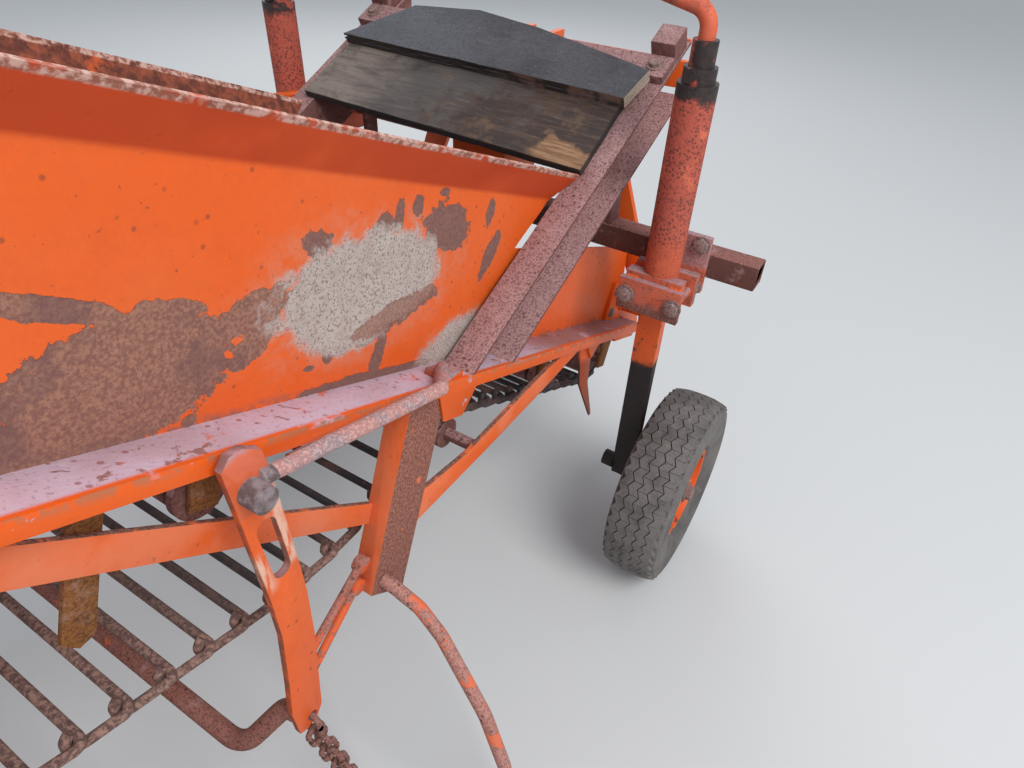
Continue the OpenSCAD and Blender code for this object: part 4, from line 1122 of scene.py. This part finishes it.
# %% Route of the rod web
WEB_N, NOSE_R, DRIVE_R, ROD_R = -0.039, 0.0585, 0.060, 0.006
DRIVE_U, NOSE_U = -1.589, 0.020
ROD_HALF, PITCH_AIM = 0.272, 0.050
UP_ANGLE = math.pi / 2 - SLOPE
DRIVE_START, NOSE_STOP = math.radians(216), math.radians(-100)
RETURN_RUN = [(0.560, 0.333), (0.400, 0.413), (0.250, 0.493), (0.120, 0.550), (0.020, 0.527),
              (-0.090, 0.497), (-0.160, 0.490), (-0.240, 0.500), (-0.300, 0.513),
              (-0.390, 0.533), (-0.506, 0.560), (-0.590, 0.594), (-0.660, 0.644),
              (-0.730, 0.714), (-0.790, 0.802)]


def at_slope(u, n):
    """X and Z of a point given along the elevator and square to it."""
    return (SLOPE_X + u * math.cos(SLOPE) + n * math.sin(SLOPE),
            SLOPE_Z - u * math.sin(SLOPE) + n * math.cos(SLOPE))


def arc(centre, radius, first, last, steps):
    """Points on a circle in X and Z."""
    return [(centre[0] + radius * math.cos(first + (last - first) * k / steps),
             centre[1] + radius * math.sin(first + (last - first) * k / steps))
            for k in range(steps + 1)]


def smooth_through(a, b, c, d, t):
    """One coordinate of a curve that passes through b and c."""
    return 0.5 * (2 * b + (c - a) * t + (2 * a - 5 * b + 4 * c - d) * t ** 2
                  + (3 * b - a - 3 * c + d) * t ** 3)


drive_centre = at_slope(DRIVE_U, WEB_N - DRIVE_R)
nose_arc = arc(at_slope(NOSE_U, WEB_N - NOSE_R), NOSE_R, UP_ANGLE, NOSE_STOP, 8)
drive_arc = arc(drive_centre, DRIVE_R, DRIVE_START, UP_ANGLE, 12)
knots = nose_arc[7:] + RETURN_RUN + drive_arc[:2]
slack = [tuple(smooth_through(*(knots[i + j][axis] for j in (-1, 0, 1, 2)), k / 4)
               for axis in (0, 1))
         for i in range(1, len(knots) - 2) for k in range(1, 5)]
route = [drive_arc[-1]] + nose_arc + slack + drive_arc[1:]
route_length = sum(math.dist(a, b) for a, b in zip(route, route[1:]))
rods = round(route_length / PITCH_AIM)
pitch = route_length / rods
print(rods, "links of", round(pitch * 1000, 1), "mm on", round(route_length, 3), "m")

# %% [markdown]
# One link is bent once, and a tree sets a copy on every rod's place. It looks the next point up by
# its index and turns the link's X axis that way, so no angle has to be worked out.

# %% Grow the rod web
def rod_places():
    """The rods' centres, a pitch apart along the route."""
    places, walked, aim = [], 0.0, 0.0
    for a, b in zip(route, route[1:]):
        step = math.dist(a, b)
        while aim <= walked + step and len(places) < rods:
            part = (aim - walked) / step
            places.append((a[0] + (b[0] - a[0]) * part, 0, a[1] + (b[1] - a[1]) * part))
            aim += pitch
        walked += step
    return places


def link_seed():
    """Half a link is a rod end: out along Y, forward, and curled over the next rod."""
    hook = [(0, ROD_HALF - 0.006, 0), (pitch * 0.45, ROD_HALF - 0.010, 0.004),
            (pitch - 0.004, ROD_HALF - 0.017, 0.0125), (pitch + 0.0105, ROD_HALF - 0.019, 0.009),
            (pitch + 0.0125, ROD_HALF - 0.020, -0.003), (pitch + 0.006, ROD_HALF - 0.021, -0.0095)]
    return polyline([(x, -y, z) for x, y, z in reversed(hook)] + hook)


link = bpy.data.objects.new("one_link", round_bar(
    "one_link", link_seed(), web_rod_steel, ROD_R, 0.010, 8))
rod_chain = Growth("rod_chain", Link="Object", Links="Int")
here = rod_chain.node("GeometryNodeInputPosition", {}, {})
number = rod_chain.node("GeometryNodeInputIndex", {}, {})
following = rod_chain.node("ShaderNodeMath", {"operation": "MODULO"}, {
    0: number + 1, 1: rod_chain.given["Links"]})
there = rod_chain.node("GeometryNodeFieldAtIndex", {"data_type": "FLOAT_VECTOR"}, {
    "Value": here, "Index": following})
ahead = rod_chain.node("ShaderNodeVectorMath", {"operation": "SUBTRACT"}, {0: there, 1: here})
turn = rod_chain.node("FunctionNodeAlignRotationToVector", {"axis": "X", "pivot_axis": "Y"}, {
    "Vector": ahead})
shape_of_link = rod_chain.node("GeometryNodeObjectInfo", {}, {
    "Object": rod_chain.given["Link"]}, "Geometry")
rod_chain.end(rod_chain.place_copies(rod_chain.given["Seed"], shape_of_link, turn))
web = stand_for("rod_web", grow(
    rod_chain, points_mesh("rod_places", rod_places()), "rod_web", web_rod_steel, Link=link,
    Links=rods), crease=50)
print("web", len(web.data.polygons), "faces")

# %% [markdown]
# A tyre is made of two kinds of round thing. The carcass is the same all the way round, so it is
# turned on a lathe. The tread repeats, so a tree turns copies of one pitch of it round the axle.

# %% Lathe and ring
def join_rings(shape, first, second):
    """A wall of four-cornered faces between two rings of points."""
    for i, point in enumerate(first):
        j = (i + 1) % len(first)
        shape.faces.new((point, first[j], second[j], second[i]))


def lathe(profile, steps):
    """Turns a closed profile of (y, radius) pairs about the Y axis."""
    shape = bmesh.new()
    rings = []
    for k in range(steps):
        angle = 2 * math.pi * k / steps
        rings.append([shape.verts.new((radius * math.sin(angle), y, radius * math.cos(angle)))
                      for y, radius in profile])
    for first, second in zip(rings, rings[1:] + rings[:1]):
        join_rings(shape, second, first)
    bmesh.ops.remove_doubles(shape, verts=shape.verts, dist=1e-6)
    bmesh.ops.recalc_face_normals(shape, faces=shape.faces)
    return shape


around_axle = Growth("around_axle", Copies="Int")
copies = around_axle.given["Copies"]
centre_points = around_axle.node("GeometryNodePoints", {}, {"Count": copies})
angle = around_axle.node("GeometryNodeInputIndex", {}, {}) * (2 * math.pi) / copies
turned = around_axle.node("ShaderNodeCombineXYZ", {}, {1: angle})
around_axle.end(around_axle.place_copies(centre_points, around_axle.given["Seed"], turned))
print("a lathe and a tree that turns copies round an axle")

# %% [markdown]
# A road tread is five ribs with zigzag edges. One pitch of it is five small blocks, every second
# one half a pitch further on, and a lug on each shoulder. The crown falls away to both sides.

# %% Tread
def block(shape, outline, low, high):
    """A tread block: an outline of (arc angle, y) between two radius functions of y."""
    bottom, top = ([shape.verts.new((radius(y) * math.sin(a), y, radius(y) * math.cos(a)))
                    for a, y in outline] for radius in (low, high))
    shape.faces.new(top)
    join_rings(shape, bottom, top)
    shape.faces.new(bottom[::-1])


def crown_drop(y, flat):
    """How far the crown of the tread falls away from the middle."""
    return 0.0062 * (abs(y) / flat) ** 2.6


def tread_pitch(radius, width, pitches):
    """Five zigzag blocks and two shoulder lugs for one pitch of the tread."""
    shape = bmesh.new()
    step = 2 * math.pi / pitches
    flat = width * 0.42

    def crown(y):
        return radius - crown_drop(y, flat)

    rib = flat * 2 / 5
    for k in range(5):
        middle = -flat + rib * (k + 0.5)
        half, zig = rib * 0.445, rib * 0.20 * (1 if k % 2 else -1)
        shift = step * (0.5 if k % 2 else 0.0)
        first, knee, last = (shift + step * part for part in (0.015, 0.5, 0.985))
        block(shape, [(first, middle - half - zig), (knee, middle - half + zig),
                      (last, middle - half - zig), (last, middle + half - zig),
                      (knee, middle + half + zig), (first, middle + half - zig)],
              lambda y: crown(y) - 0.007, crown)
    for sign in (-1, 1):
        inner, outer = sign * (flat + 0.0015), sign * width * 0.478

        def shoulder(y):
            return radius - 0.0075 - 0.016 * (abs(y) - flat) / (width * 0.478 - flat)

        block(shape, [(step * 0.18, inner), (step * 0.62, inner), (step * 0.56, outer),
                      (step * 0.24, outer)], lambda y: shoulder(y) - 0.006, shoulder)
    bmesh.ops.recalc_face_normals(shape, faces=shape.faces)
    return as_mesh(shape, "tread_pitch")


print("one pitch of the tread")

# %% [markdown]
# The carcass runs from one bead over the bulging wall to the other, with a scuff rib and a moulded
# line on the wall. The blocks stand a little sunk in it. Each radius is a tenth of a millimetre
# under the solid's, so that the tyre stays inside it.

# %% Tyres
def tyre_carcass(radius, width, bead):
    """Bead, bulging side wall with a scuff rib and a moulded line, and the groove floor."""
    half = width / 2
    flat = width * 0.42
    side = radius - bead
    wall = [(0.70, 0.00), (0.80, 0.05), (0.83, 0.09), (0.83, 0.12), (0.90, 0.20), (0.975, 0.36),
            (0.994, 0.52), (0.989, 0.60), (0.999, 0.615), (0.999, 0.640), (0.984, 0.655),
            (0.965, 0.76), (0.93, 0.84)]
    right = [(y * half, bead + r * side) for y, r in wall]
    crown = [(y, radius - 0.0068 - crown_drop(y, flat))
             for y in (flat, flat * 0.75, flat * 0.5, flat * 0.25, 0.0)]
    outer = right + crown
    return outer + [(-y, r) for y, r in reversed(outer[:-1])]


# where the axles are, on the left side
WHEELS = {"front": (LEG_X, 0.532, 0.202), "rear": (-0.690, 0.425, 0.250)}


def wheel_place(end, side):
    x, y, z = WHEELS[end]
    return x, SIDES[side] * y, z


# radius, width, radius of the bead, pitches of the tread
TYRES = {"front": (0.2019, 0.118, 0.1016, 46), "rear": (0.2499, 0.140, 0.127, 40)}
RUBBER = {"front": front_rubber, "rear": rear_rubber}
for end, (radius, width, bead, pitches) in TYRES.items():
    tread = grow(around_axle, tread_pitch(radius, width, pitches), "tread", RUBBER[end],
                 Copies=pitches)
    for side in SIDES:
        tyre = lathe(tyre_carcass(radius, width, bead), 80)
        tyre.from_mesh(tread)
        bmesh.ops.translate(tyre, verts=tyre.verts, vec=wheel_place(end, side))
        made = stand_for(f"{end}_tyre_{side}", tyre, crease=30)
    print(end, "tyres", len(made.data.polygons), "faces each")

# %% [markdown]
# The short chain is eight welded links under a shackle, each turned a quarter to the one before.
# A link is a ring of round wire, bent from a long hexagon by the bent-rod tree.

# %% Chain
def wire_link(length, width, radius, name):
    """A closed link in the X-Z plane: a long hexagon whose corners are rounded."""
    top, side = length / 2 - radius, width / 2 - radius
    knee = 0.55 * top + 0.45 * (length - width) / 2
    corners = [(0, top), (side, knee), (side, 0), (side, -knee), (0, -top), (-side, -knee),
               (-side, 0), (-side, knee)]
    path = polyline([(x, 0, z) for x, z in corners], closed=True)
    return round_bar(name, path, chain_rust, radius, width * 0.34, 10)


LINK_LENGTH, LINK_REACH, LINKS, LEAN = 0.052, 0.0331, 8, math.radians(10)
EYE = (-0.290, -0.3485, 0.388)
SHACKLE_LENGTH, SHACKLE_WIRE, SHACKLE_DROP, FIRST_DROP = 0.056, 0.0045, 0.0234, 0.0104
pivot_z = EYE[2] - SHACKLE_DROP - SHACKLE_LENGTH / 2 + SHACKLE_WIRE
hanging = Growth("hanging_chain", Link="Object")
number = hanging.node("GeometryNodeInputIndex", {}, {})
quarter = hanging.node("ShaderNodeMath", {"operation": "MODULO"}, {
    0: number, 1: 2.0}) * (math.pi / 2)
spin = hanging.node("ShaderNodeCombineXYZ", {}, {1: -LEAN, 2: quarter})
one = hanging.node("GeometryNodeObjectInfo", {}, {"Object": hanging.given["Link"]}, "Geometry")
hanging.end(hanging.place_copies(hanging.given["Seed"], one, spin))
chain_link = bpy.data.objects.new("one_chain_link", wire_link(
    LINK_LENGTH, 0.030, 0.004, "chain_link"))
drops = [FIRST_DROP + LINK_REACH * i for i in range(LINKS)]
link_places = points_mesh("chain_places", [
    (EYE[0] + math.sin(LEAN) * drop, EYE[1], pivot_z - math.cos(LEAN) * drop) for drop in drops])
chain = bmesh.new()
chain.from_mesh(wire_link(SHACKLE_LENGTH, 0.036, SHACKLE_WIRE, "shackle"))
bmesh.ops.rotate(chain, verts=chain.verts, matrix=Matrix.Rotation(math.pi / 2, 3, "Z"))
bmesh.ops.translate(chain, verts=chain.verts, vec=(EYE[0], EYE[1], EYE[2] - SHACKLE_DROP))
chain.from_mesh(grow(hanging, link_places, "chain", chain_rust, Link=chain_link))
stand_for("hang_chain", chain, crease=50)
print("chain of", LINKS, "links")

# %% [markdown]
# The two boards are what is left of wider ones. The upper one is a blackened sheet of thick
# plywood: its plies have parted along the near edge and each is torn a little differently. The
# lower one is a single grey-brown board with worn arrises. Their outlines are drawn along the beams
# (v) and across them (y), and noise tears the edges.

# %% Boards
BEAM_RISE, BEAM_X, BEAM_Z = math.radians(25), 0.106, 0.690


def on_beam(v, y, w):
    """A point along the beams, across them and above them."""
    return (BEAM_X + v * math.cos(BEAM_RISE) - w * math.sin(BEAM_RISE), y,
            BEAM_Z + v * math.sin(BEAM_RISE) + w * math.cos(BEAM_RISE))


def torn_outline(corners, step, tear, seed):
    """The outline with a point every step, pulled inwards by noise."""
    centre_v = sum(c[0] for c in corners) / len(corners)
    centre_y = sum(c[1] for c in corners) / len(corners)
    points = []
    for (v0, y0, torn), (v1, y1, _) in zip(corners, corners[1:] + corners[:1]):
        count = max(1, round(math.hypot(v1 - v0, y1 - y0) / step))
        for k in range(count):
            v, y = v0 + (v1 - v0) * k / count, y0 + (y1 - y0) * k / count
            pull = tear * torn * (0.5 + noise.noise(Vector((v * 22, y * 22, seed)))
                                  + 0.5 * noise.noise(Vector((v * 70, y * 70, seed))))
            reach = math.hypot(centre_v - v, centre_y - y)
            points.append((v + (centre_v - v) / reach * max(0.0, pull),
                           y + (centre_y - y) / reach * max(0.0, pull)))
    return points


def add_ply(shape, outline, low, high):
    """A flat ply between two heights."""
    bottom, top = ([shape.verts.new(on_beam(v, y, level)) for v, y in outline]
                   for level in (low, high))
    join_rings(shape, bottom, top)
    shape.faces.new(top)
    shape.faces.new(bottom[::-1])


# v, y and how far the edge that starts here is torn
UPPER_BOARD = [(0.512, -0.307, 0.3), (0.586, -0.318, 0.6), (0.639, -0.079, 0.3),
               (0.658, 0.064, 0.3), (0.640, 0.207, 0.5), (0.525, 0.307, 1.0)]
LOWER_YAW = math.tan(math.radians(1.5)) * 0.303
LOWER_BOARD = [(0.371 - LOWER_YAW, -0.303, 0.4), (0.541 - LOWER_YAW, -0.298, 0.2),
               (0.541 + LOWER_YAW, 0.303, 0.3), (0.371 + LOWER_YAW, 0.303, 0.7)]
PLY, UPPER_FOOT = 0.004, 0.0146


def keep_board(name, outline, step, plies):
    """Each ply has a low and a high face, a depth to which its edge is torn, and a seed."""
    board = bmesh.new()
    for low, high, tear, seed in plies:
        add_ply(board, torn_outline(outline, step, tear, seed), low, high)
    bmesh.ops.remove_doubles(board, verts=board.verts, dist=1e-5)
    bmesh.ops.triangulate(board, faces=[face for face in board.faces if len(face.verts) > 4])
    bmesh.ops.recalc_face_normals(board, faces=board.faces)
    stand_for(name, board, crease=30)


keep_board("deck_board_upper", UPPER_BOARD, 0.011, [
    (UPPER_FOOT + PLY * k, UPPER_FOOT + PLY * (k + 1) - 0.0002,
     0.0055 if k in (2, 3) else 0.0025, 11.0 * k) for k in range(5)])
keep_board("deck_board_lower", LOWER_BOARD, 0.012, [
    (0.0003, 0.0018, 0.004, 77.0), (0.0018, 0.0128, 0.0020, 77.0),
    (0.0128, 0.0143, 0.004, 77.0)])
print("two boards")

# %% [markdown]
# Bolts are too many to model one by one. Each is a point that carries its facing and its size,
# and one tree sets a washer, a hexagon head and its chamfer on every point.

# %% Bolts, nuts and washers
bolts = Growth("bolts")
parts = [
    bolts.node("GeometryNodeMeshCylinder", {}, {"Vertices": 20, "Radius": 1.42, "Depth": 0.22}),
    bolts.node("GeometryNodeMeshCylinder", {}, {"Vertices": 6, "Radius": 1.0, "Depth": 0.56}),
    bolts.node("GeometryNodeMeshCone", {}, {
        "Vertices": 12, "Radius Top": 0.62, "Radius Bottom": 0.93, "Depth": 0.14})]
parts = [bolts.node("GeometryNodeTransform", {}, {"Geometry": part, "Translation": (0, 0, level)})
         for part, level in zip(parts, (0.11, 0.50, 0.78))]
bolt = bolts.tree.nodes.new("GeometryNodeJoinGeometry")
for part in parts:
    bolts.tree.links.new(part.socket, bolt.inputs[0])
facing = bolts.node("GeometryNodeInputNamedAttribute", {"data_type": "FLOAT_VECTOR"}, {
    "Name": "facing"})
size = bolts.node("GeometryNodeInputNamedAttribute", {"data_type": "FLOAT"}, {"Name": "size"})
upright = bolts.node("FunctionNodeAlignRotationToVector", {"axis": "Z"}, {"Vector": facing})
whole = bolts.node("ShaderNodeCombineXYZ", {}, {0: size, 1: size, 2: size})
bolts.end(bolts.place_copies(bolts.given["Seed"], Wire(bolts, bolt.outputs[0]), upright, whole))

bolt_iron = granular_rust("bolt_iron", (150, 124, 118), (98, 72, 66))


def bolt_on(name, body, rows):
    """Rows are place, facing and half the width over the corners."""
    seed = points_mesh(name, [row[0] for row in rows])
    seed.attributes.new("facing", "FLOAT_VECTOR", "POINT").data.foreach_set(
        "vector", [v for row in rows for v in row[1]])
    seed.attributes.new("size", "FLOAT", "POINT").data.foreach_set(
        "value", [row[2] for row in rows])
    keep(name, grow(bolts, seed, name, bolt_iron), bolt_iron, body)


def four_round(reach):
    """Four places round a centre, halfway between the axes."""
    return [(reach * math.cos(a), reach * math.sin(a))
            for a in (math.pi / 4 + k * math.pi / 2 for k in range(4))]


print("a tree for bolts")

# %% [markdown]
# Bolts sit where plates meet: on the clamps, the cross iron, the gearbox, the cheeks and the share.
# The left side's are listed and mirrored. The chain case is closed by two rows of small screws.

# %% Bolts on the frame
SHAFT_Z = 0.771
AHEAD, BACK, OUT, UP = (1, 0, 0), (-1, 0, 0), (0, 1, 0), (0, 0, 1)
SLOPE_UP = (math.sin(SLOPE), 0, math.cos(SLOPE))
BEAM_UP = (-math.sin(BEAM_RISE), 0, math.cos(BEAM_RISE))
share_x, share_z = at_slope(0.128, -0.028)
# clamps, cross iron, gearbox feet and flange, cheeks, share
pairs = [((0.4840, y, 0.6365), BACK, 0.0118) for y in (0.388, 0.476)]
pairs += [((0.5750, 0.479, z), BACK, 0.0112) for z in (0.640, 0.720)]
pairs.append((on_beam(0.624, 0.310, 0.0144), BEAM_UP, 0.0105))
pairs += [((x, 0.074, 0.7105), UP, 0.0075) for x in (0.592, 0.643)]
pairs += [((0.710, 0.051, z), AHEAD, 0.0050) for z in (0.7225, 0.8105)]
pairs += [((x, 0.2890, z), OUT, 0.0085) for x, z in (
    at_slope(u, n) for u, n in ((-0.014, 0.018), (-0.014, 0.066), (0.118, 0.040), (0.118, -0.030)))]
pairs += [((share_x, y, share_z), SLOPE_UP, 0.0085) for y in (0.070, 0.205)]
fixed = [((x, sign * y, z), (way[0], sign * way[1], way[2]), half)
         for sign in (-1, 1) for (x, y, z), way, half in pairs]
fixed += [((0.724, y, SHAFT_Z + z), AHEAD, 0.0048) for y, z in four_round(0.033)]
fixed.append(((0.640, 0.0, 0.8225), UP, 0.0090))
bolt_on("frame_bolts", "frame", fixed)

# the chain case: its outer face, how far the screws lie from its middle, and how that shrinks
CASE_FACE, CASE_REAR_HALF, CASE_TAPER = 0.386, 0.046, 0.013
case_rear, case_front = Vector(drive_centre), Vector((0.655, SHAFT_Z))
case_run = case_front - case_rear
case_side = Vector((-case_run.y, case_run.x)).normalized()
screws = []
for t in (k / 6 for k in range(7)):
    for sign in (-1, 1):
        spot = case_rear + case_run * t + case_side * sign * (CASE_REAR_HALF - CASE_TAPER * t)
        screws.append(((spot.x, CASE_FACE, spot.y), OUT, 0.0050))
bolt_on("chain_case_screws", "frame", screws)
print(len(fixed) + len(screws), "bolts on the frame")

# %% [markdown]
# Four bolts hold each rim and turn with it. The axle's nut doesn't turn, so it is a piece of its
# own that rides on the leg in front and on the frame behind.

# %% Bolts on the wheels
# reach and size of the rim's bolts, the face that they stand on, place and size of the axle nut
WHEEL_BOLTS = {"front": (0.059, 0.0070, 0.538, 0.5750, 0.0155),
               "rear": (0.073, 0.0085, 0.431, 0.4760, 0.0180)}
for side, sign in SIDES.items():
    for end, (reach, half, face, nut_y, nut_half) in WHEEL_BOLTS.items():
        x, _, z = wheel_place(end, side)
        way = (0, sign, 0)
        bolt_on(f"{end}_rim_bolts_{side}", body_of[f"{end}_rim_{side}"], [
            ((x + ahead, sign * face, z + above), way, half) for ahead, above in four_round(reach)])
        holder = body_of["depth_leg_" + side] if end == "front" else "frame"
        bolt_on(f"{end}_axle_nut_{side}", holder, [((x, sign * nut_y, z), way, nut_half)])
print("four bolts and a nut on every wheel")

# %% [markdown]
# A weld is a row of small overlapping lumps. The tree walks the seam in steps of a few
# millimetres and sets a lump on each, a little different in size every time.

# %% Welds
weld = Growth("weld_bead", Step="Float", Lump="Float", Chance="Int")
seam = weld.node("GeometryNodeMeshToCurve", {}, {"Mesh": weld.given["Seed"]})
seam = weld.node("GeometryNodeCurveToPoints", {"mode": "LENGTH"}, {
    "Curve": seam, "Length": weld.given["Step"]})
lump = weld.node("GeometryNodeMeshIcoSphere", {}, {
    "Radius": weld.given["Lump"], "Subdivisions": 2})
swell = weld.node("FunctionNodeRandomValue", {"data_type": "FLOAT"}, {
    2: 0.75, 3: 1.2, "Seed": weld.given["Chance"]}, 1)
swell = weld.node("ShaderNodeCombineXYZ", {}, {0: swell, 1: swell, 2: swell})
weld.end(weld.place_copies(seam, lump, (0, 0, 0), swell))


def round_edge(y, low, high):
    """A seam round a rectangle that faces sideways, from two (x, z) corners."""
    return [(x, y, z) for x, z in (low, (high[0], low[1]), high, (low[0], high[1]), low)]


headstock_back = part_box("headstock")[0].x - 0.001
tube_low, tube_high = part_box("rear_cross_tube")
seams = []
for sign in (-1, 1):
    seams += [[(headstock_back, sign * y, 0.9935) for y in (0.288, 0.332)],
              round_edge(sign * 0.2905, (0.730, 0.440), (0.790, 0.500)),
              round_edge(sign * (tube_high.y - 0.001), (tube_low.x, tube_low.z),
                         (tube_high.x, tube_high.z)),
              [(0.4965, sign * y, 0.6665) for y in (0.384, 0.400)],
              [(0.4965, sign * y, 0.6665) for y in (0.464, 0.480)]]
beads = bmesh.new()
for number, points in enumerate(seams):
    beads.from_mesh(grow(weld, polyline(points), "weld", plain_paint, Step=0.0038, Lump=0.0032,
                         Chance=number))
keep("welds", beads, plain_paint, "frame", 60)
print(len(seams), "welds")

# %% [markdown]
# A side wall isn't bare: short moulded ribs stand round the shoulder. They are the axle tree
# again, on one rib.

# %% Ribs on the side walls
def wall_rib(reach, length, y, sign):
    """A low radial rib on the side wall, its ends sunk in the rubber."""
    shape = bmesh.new()
    bmesh.ops.create_cube(shape, size=1.0)
    bmesh.ops.scale(shape, verts=shape.verts, vec=(0.0032, 0.0024, length))
    bmesh.ops.rotate(shape, verts=shape.verts, matrix=Matrix.Rotation(sign * 0.30, 3, "X"))
    bmesh.ops.translate(shape, verts=shape.verts, vec=(0, sign * y, reach))
    return as_mesh(shape, "wall_rib")


for end, (reach, length, y, count) in {
        "front": (0.180, 0.020, 0.0536, 46), "rear": (0.2225, 0.026, 0.0640, 40)}.items():
    for side, sign in SIDES.items():
        ribs = bmesh.new()
        for face in (-1, 1):
            ribs.from_mesh(grow(around_axle, wall_rib(reach, length, y, face), "ribs",
                                RUBBER[end], Copies=count))
        bmesh.ops.translate(ribs, verts=ribs.verts, vec=wheel_place(end, side))
        keep(f"{end}_tyre_ribs_{side}", ribs, RUBBER[end], body_of[f"{end}_tyre_{side}"])
print("ribs on four tyres")

# %% [markdown]
# The power shaft has six splines and a round groove for the coupling's lock. Its radius follows
# from the angle and the place along it, so rings of points give the whole of it.

# %% Power shaft
SHAFT_R, GROOVE_R, SHAFT_STEPS = 0.0174, 0.0145, 96
SPLINES_FROM, GROOVE, CHAMFER_FROM = 0.752, (0.8045, 0.8115), 0.8275


def spline_radius(angle, x):
    if x < SPLINES_FROM:
        return SHAFT_R
    if GROOVE[0] < x < GROOVE[1]:
        return GROOVE_R
    tooth = SHAFT_R - GROOVE_R - (0.0022 if x > CHAMFER_FROM else 0.0)
    return GROOVE_R + tooth * max(0.0, min(1.0, 0.5 + 4 * math.cos(6 * angle)))


shaft = bmesh.new()
rings = []
for x in (0.724, 0.7519, 0.7521, 0.8044, 0.8046, 0.8114, 0.8116, 0.8274, 0.830):
    polar = [(a, spline_radius(a, x)) for a in (
        2 * math.pi * k / SHAFT_STEPS for k in range(SHAFT_STEPS))]
    rings.append([shaft.verts.new((x, r * math.cos(a), SHAFT_Z + r * math.sin(a)))
                  for a, r in polar])
for first, second in zip(rings, rings[1:]):
    join_rings(shaft, first, second)
shaft.faces.new(rings[0])
shaft.faces.new(rings[-1])
bmesh.ops.recalc_face_normals(shaft, faces=shaft.faces)
stand_for("input_shaft", shaft, crease=30)
print("a shaft with six splines")

# %% [markdown]
# Two last trifles are bent rods again: a valve in each rim, and the folded seam that holds the two
# halves of the chain case together.

# %% Valves and chain case seam
for side, sign in SIDES.items():
    for end, (face, reach) in {"front": (0.538, 0.079), "rear": (0.431, 0.103)}.items():
        x, _, z = wheel_place(end, side)
        valve = polyline([(x, sign * (face - 0.001), z + reach),
                          (x, sign * (face + 0.018), z + reach - 0.002)])
        keep(f"{end}_valve_{side}", round_bar("valve", valve, front_rubber, 0.0036, 0.001, 10),
             front_rubber, body_of[f"{end}_rim_{side}"])
lean = math.atan2(case_run.y, case_run.x)
case_rim = [(x, 0.3858, z) for centre, radius, first in (
    (case_rear, 0.054, lean + math.pi / 2), (case_front, 0.041, lean - math.pi / 2))
    for x, z in arc(centre, radius, first, first + math.pi, 8)]
keep("chain_case_seam", round_bar("chain_case_seam", polyline(case_rim, closed=True), guard_paint,
                             0.0022, 0.004, 8), guard_paint, "frame")
print("four valves and the case's seam")

# %% [markdown]
# The floor is plain and pale, and only there to take the machine's shadow.

# %% Floor
floor_mesh = bpy.data.meshes.new("floor")
floor_mesh.from_pydata([(-30, -30, 0), (30, -30, 0), (30, 30, 0), (-30, 30, 0)], [], [(0, 1, 2, 3)])
floor_mesh.materials.append(Finish("floor_grey", (206, 207, 206), 0.8).done())
floor = bpy.data.objects.new("floor", floor_mesh)
scene.collection.objects.link(floor)
floor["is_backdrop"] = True
print("a floor of 60 m")

# %% [markdown]
# Dressing mustn't change the machine's size, so the box round what is shown is printed.

# %% Print the visual box
low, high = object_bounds()
print("visual box", [round(v, 3) for v in (*low, *high)])
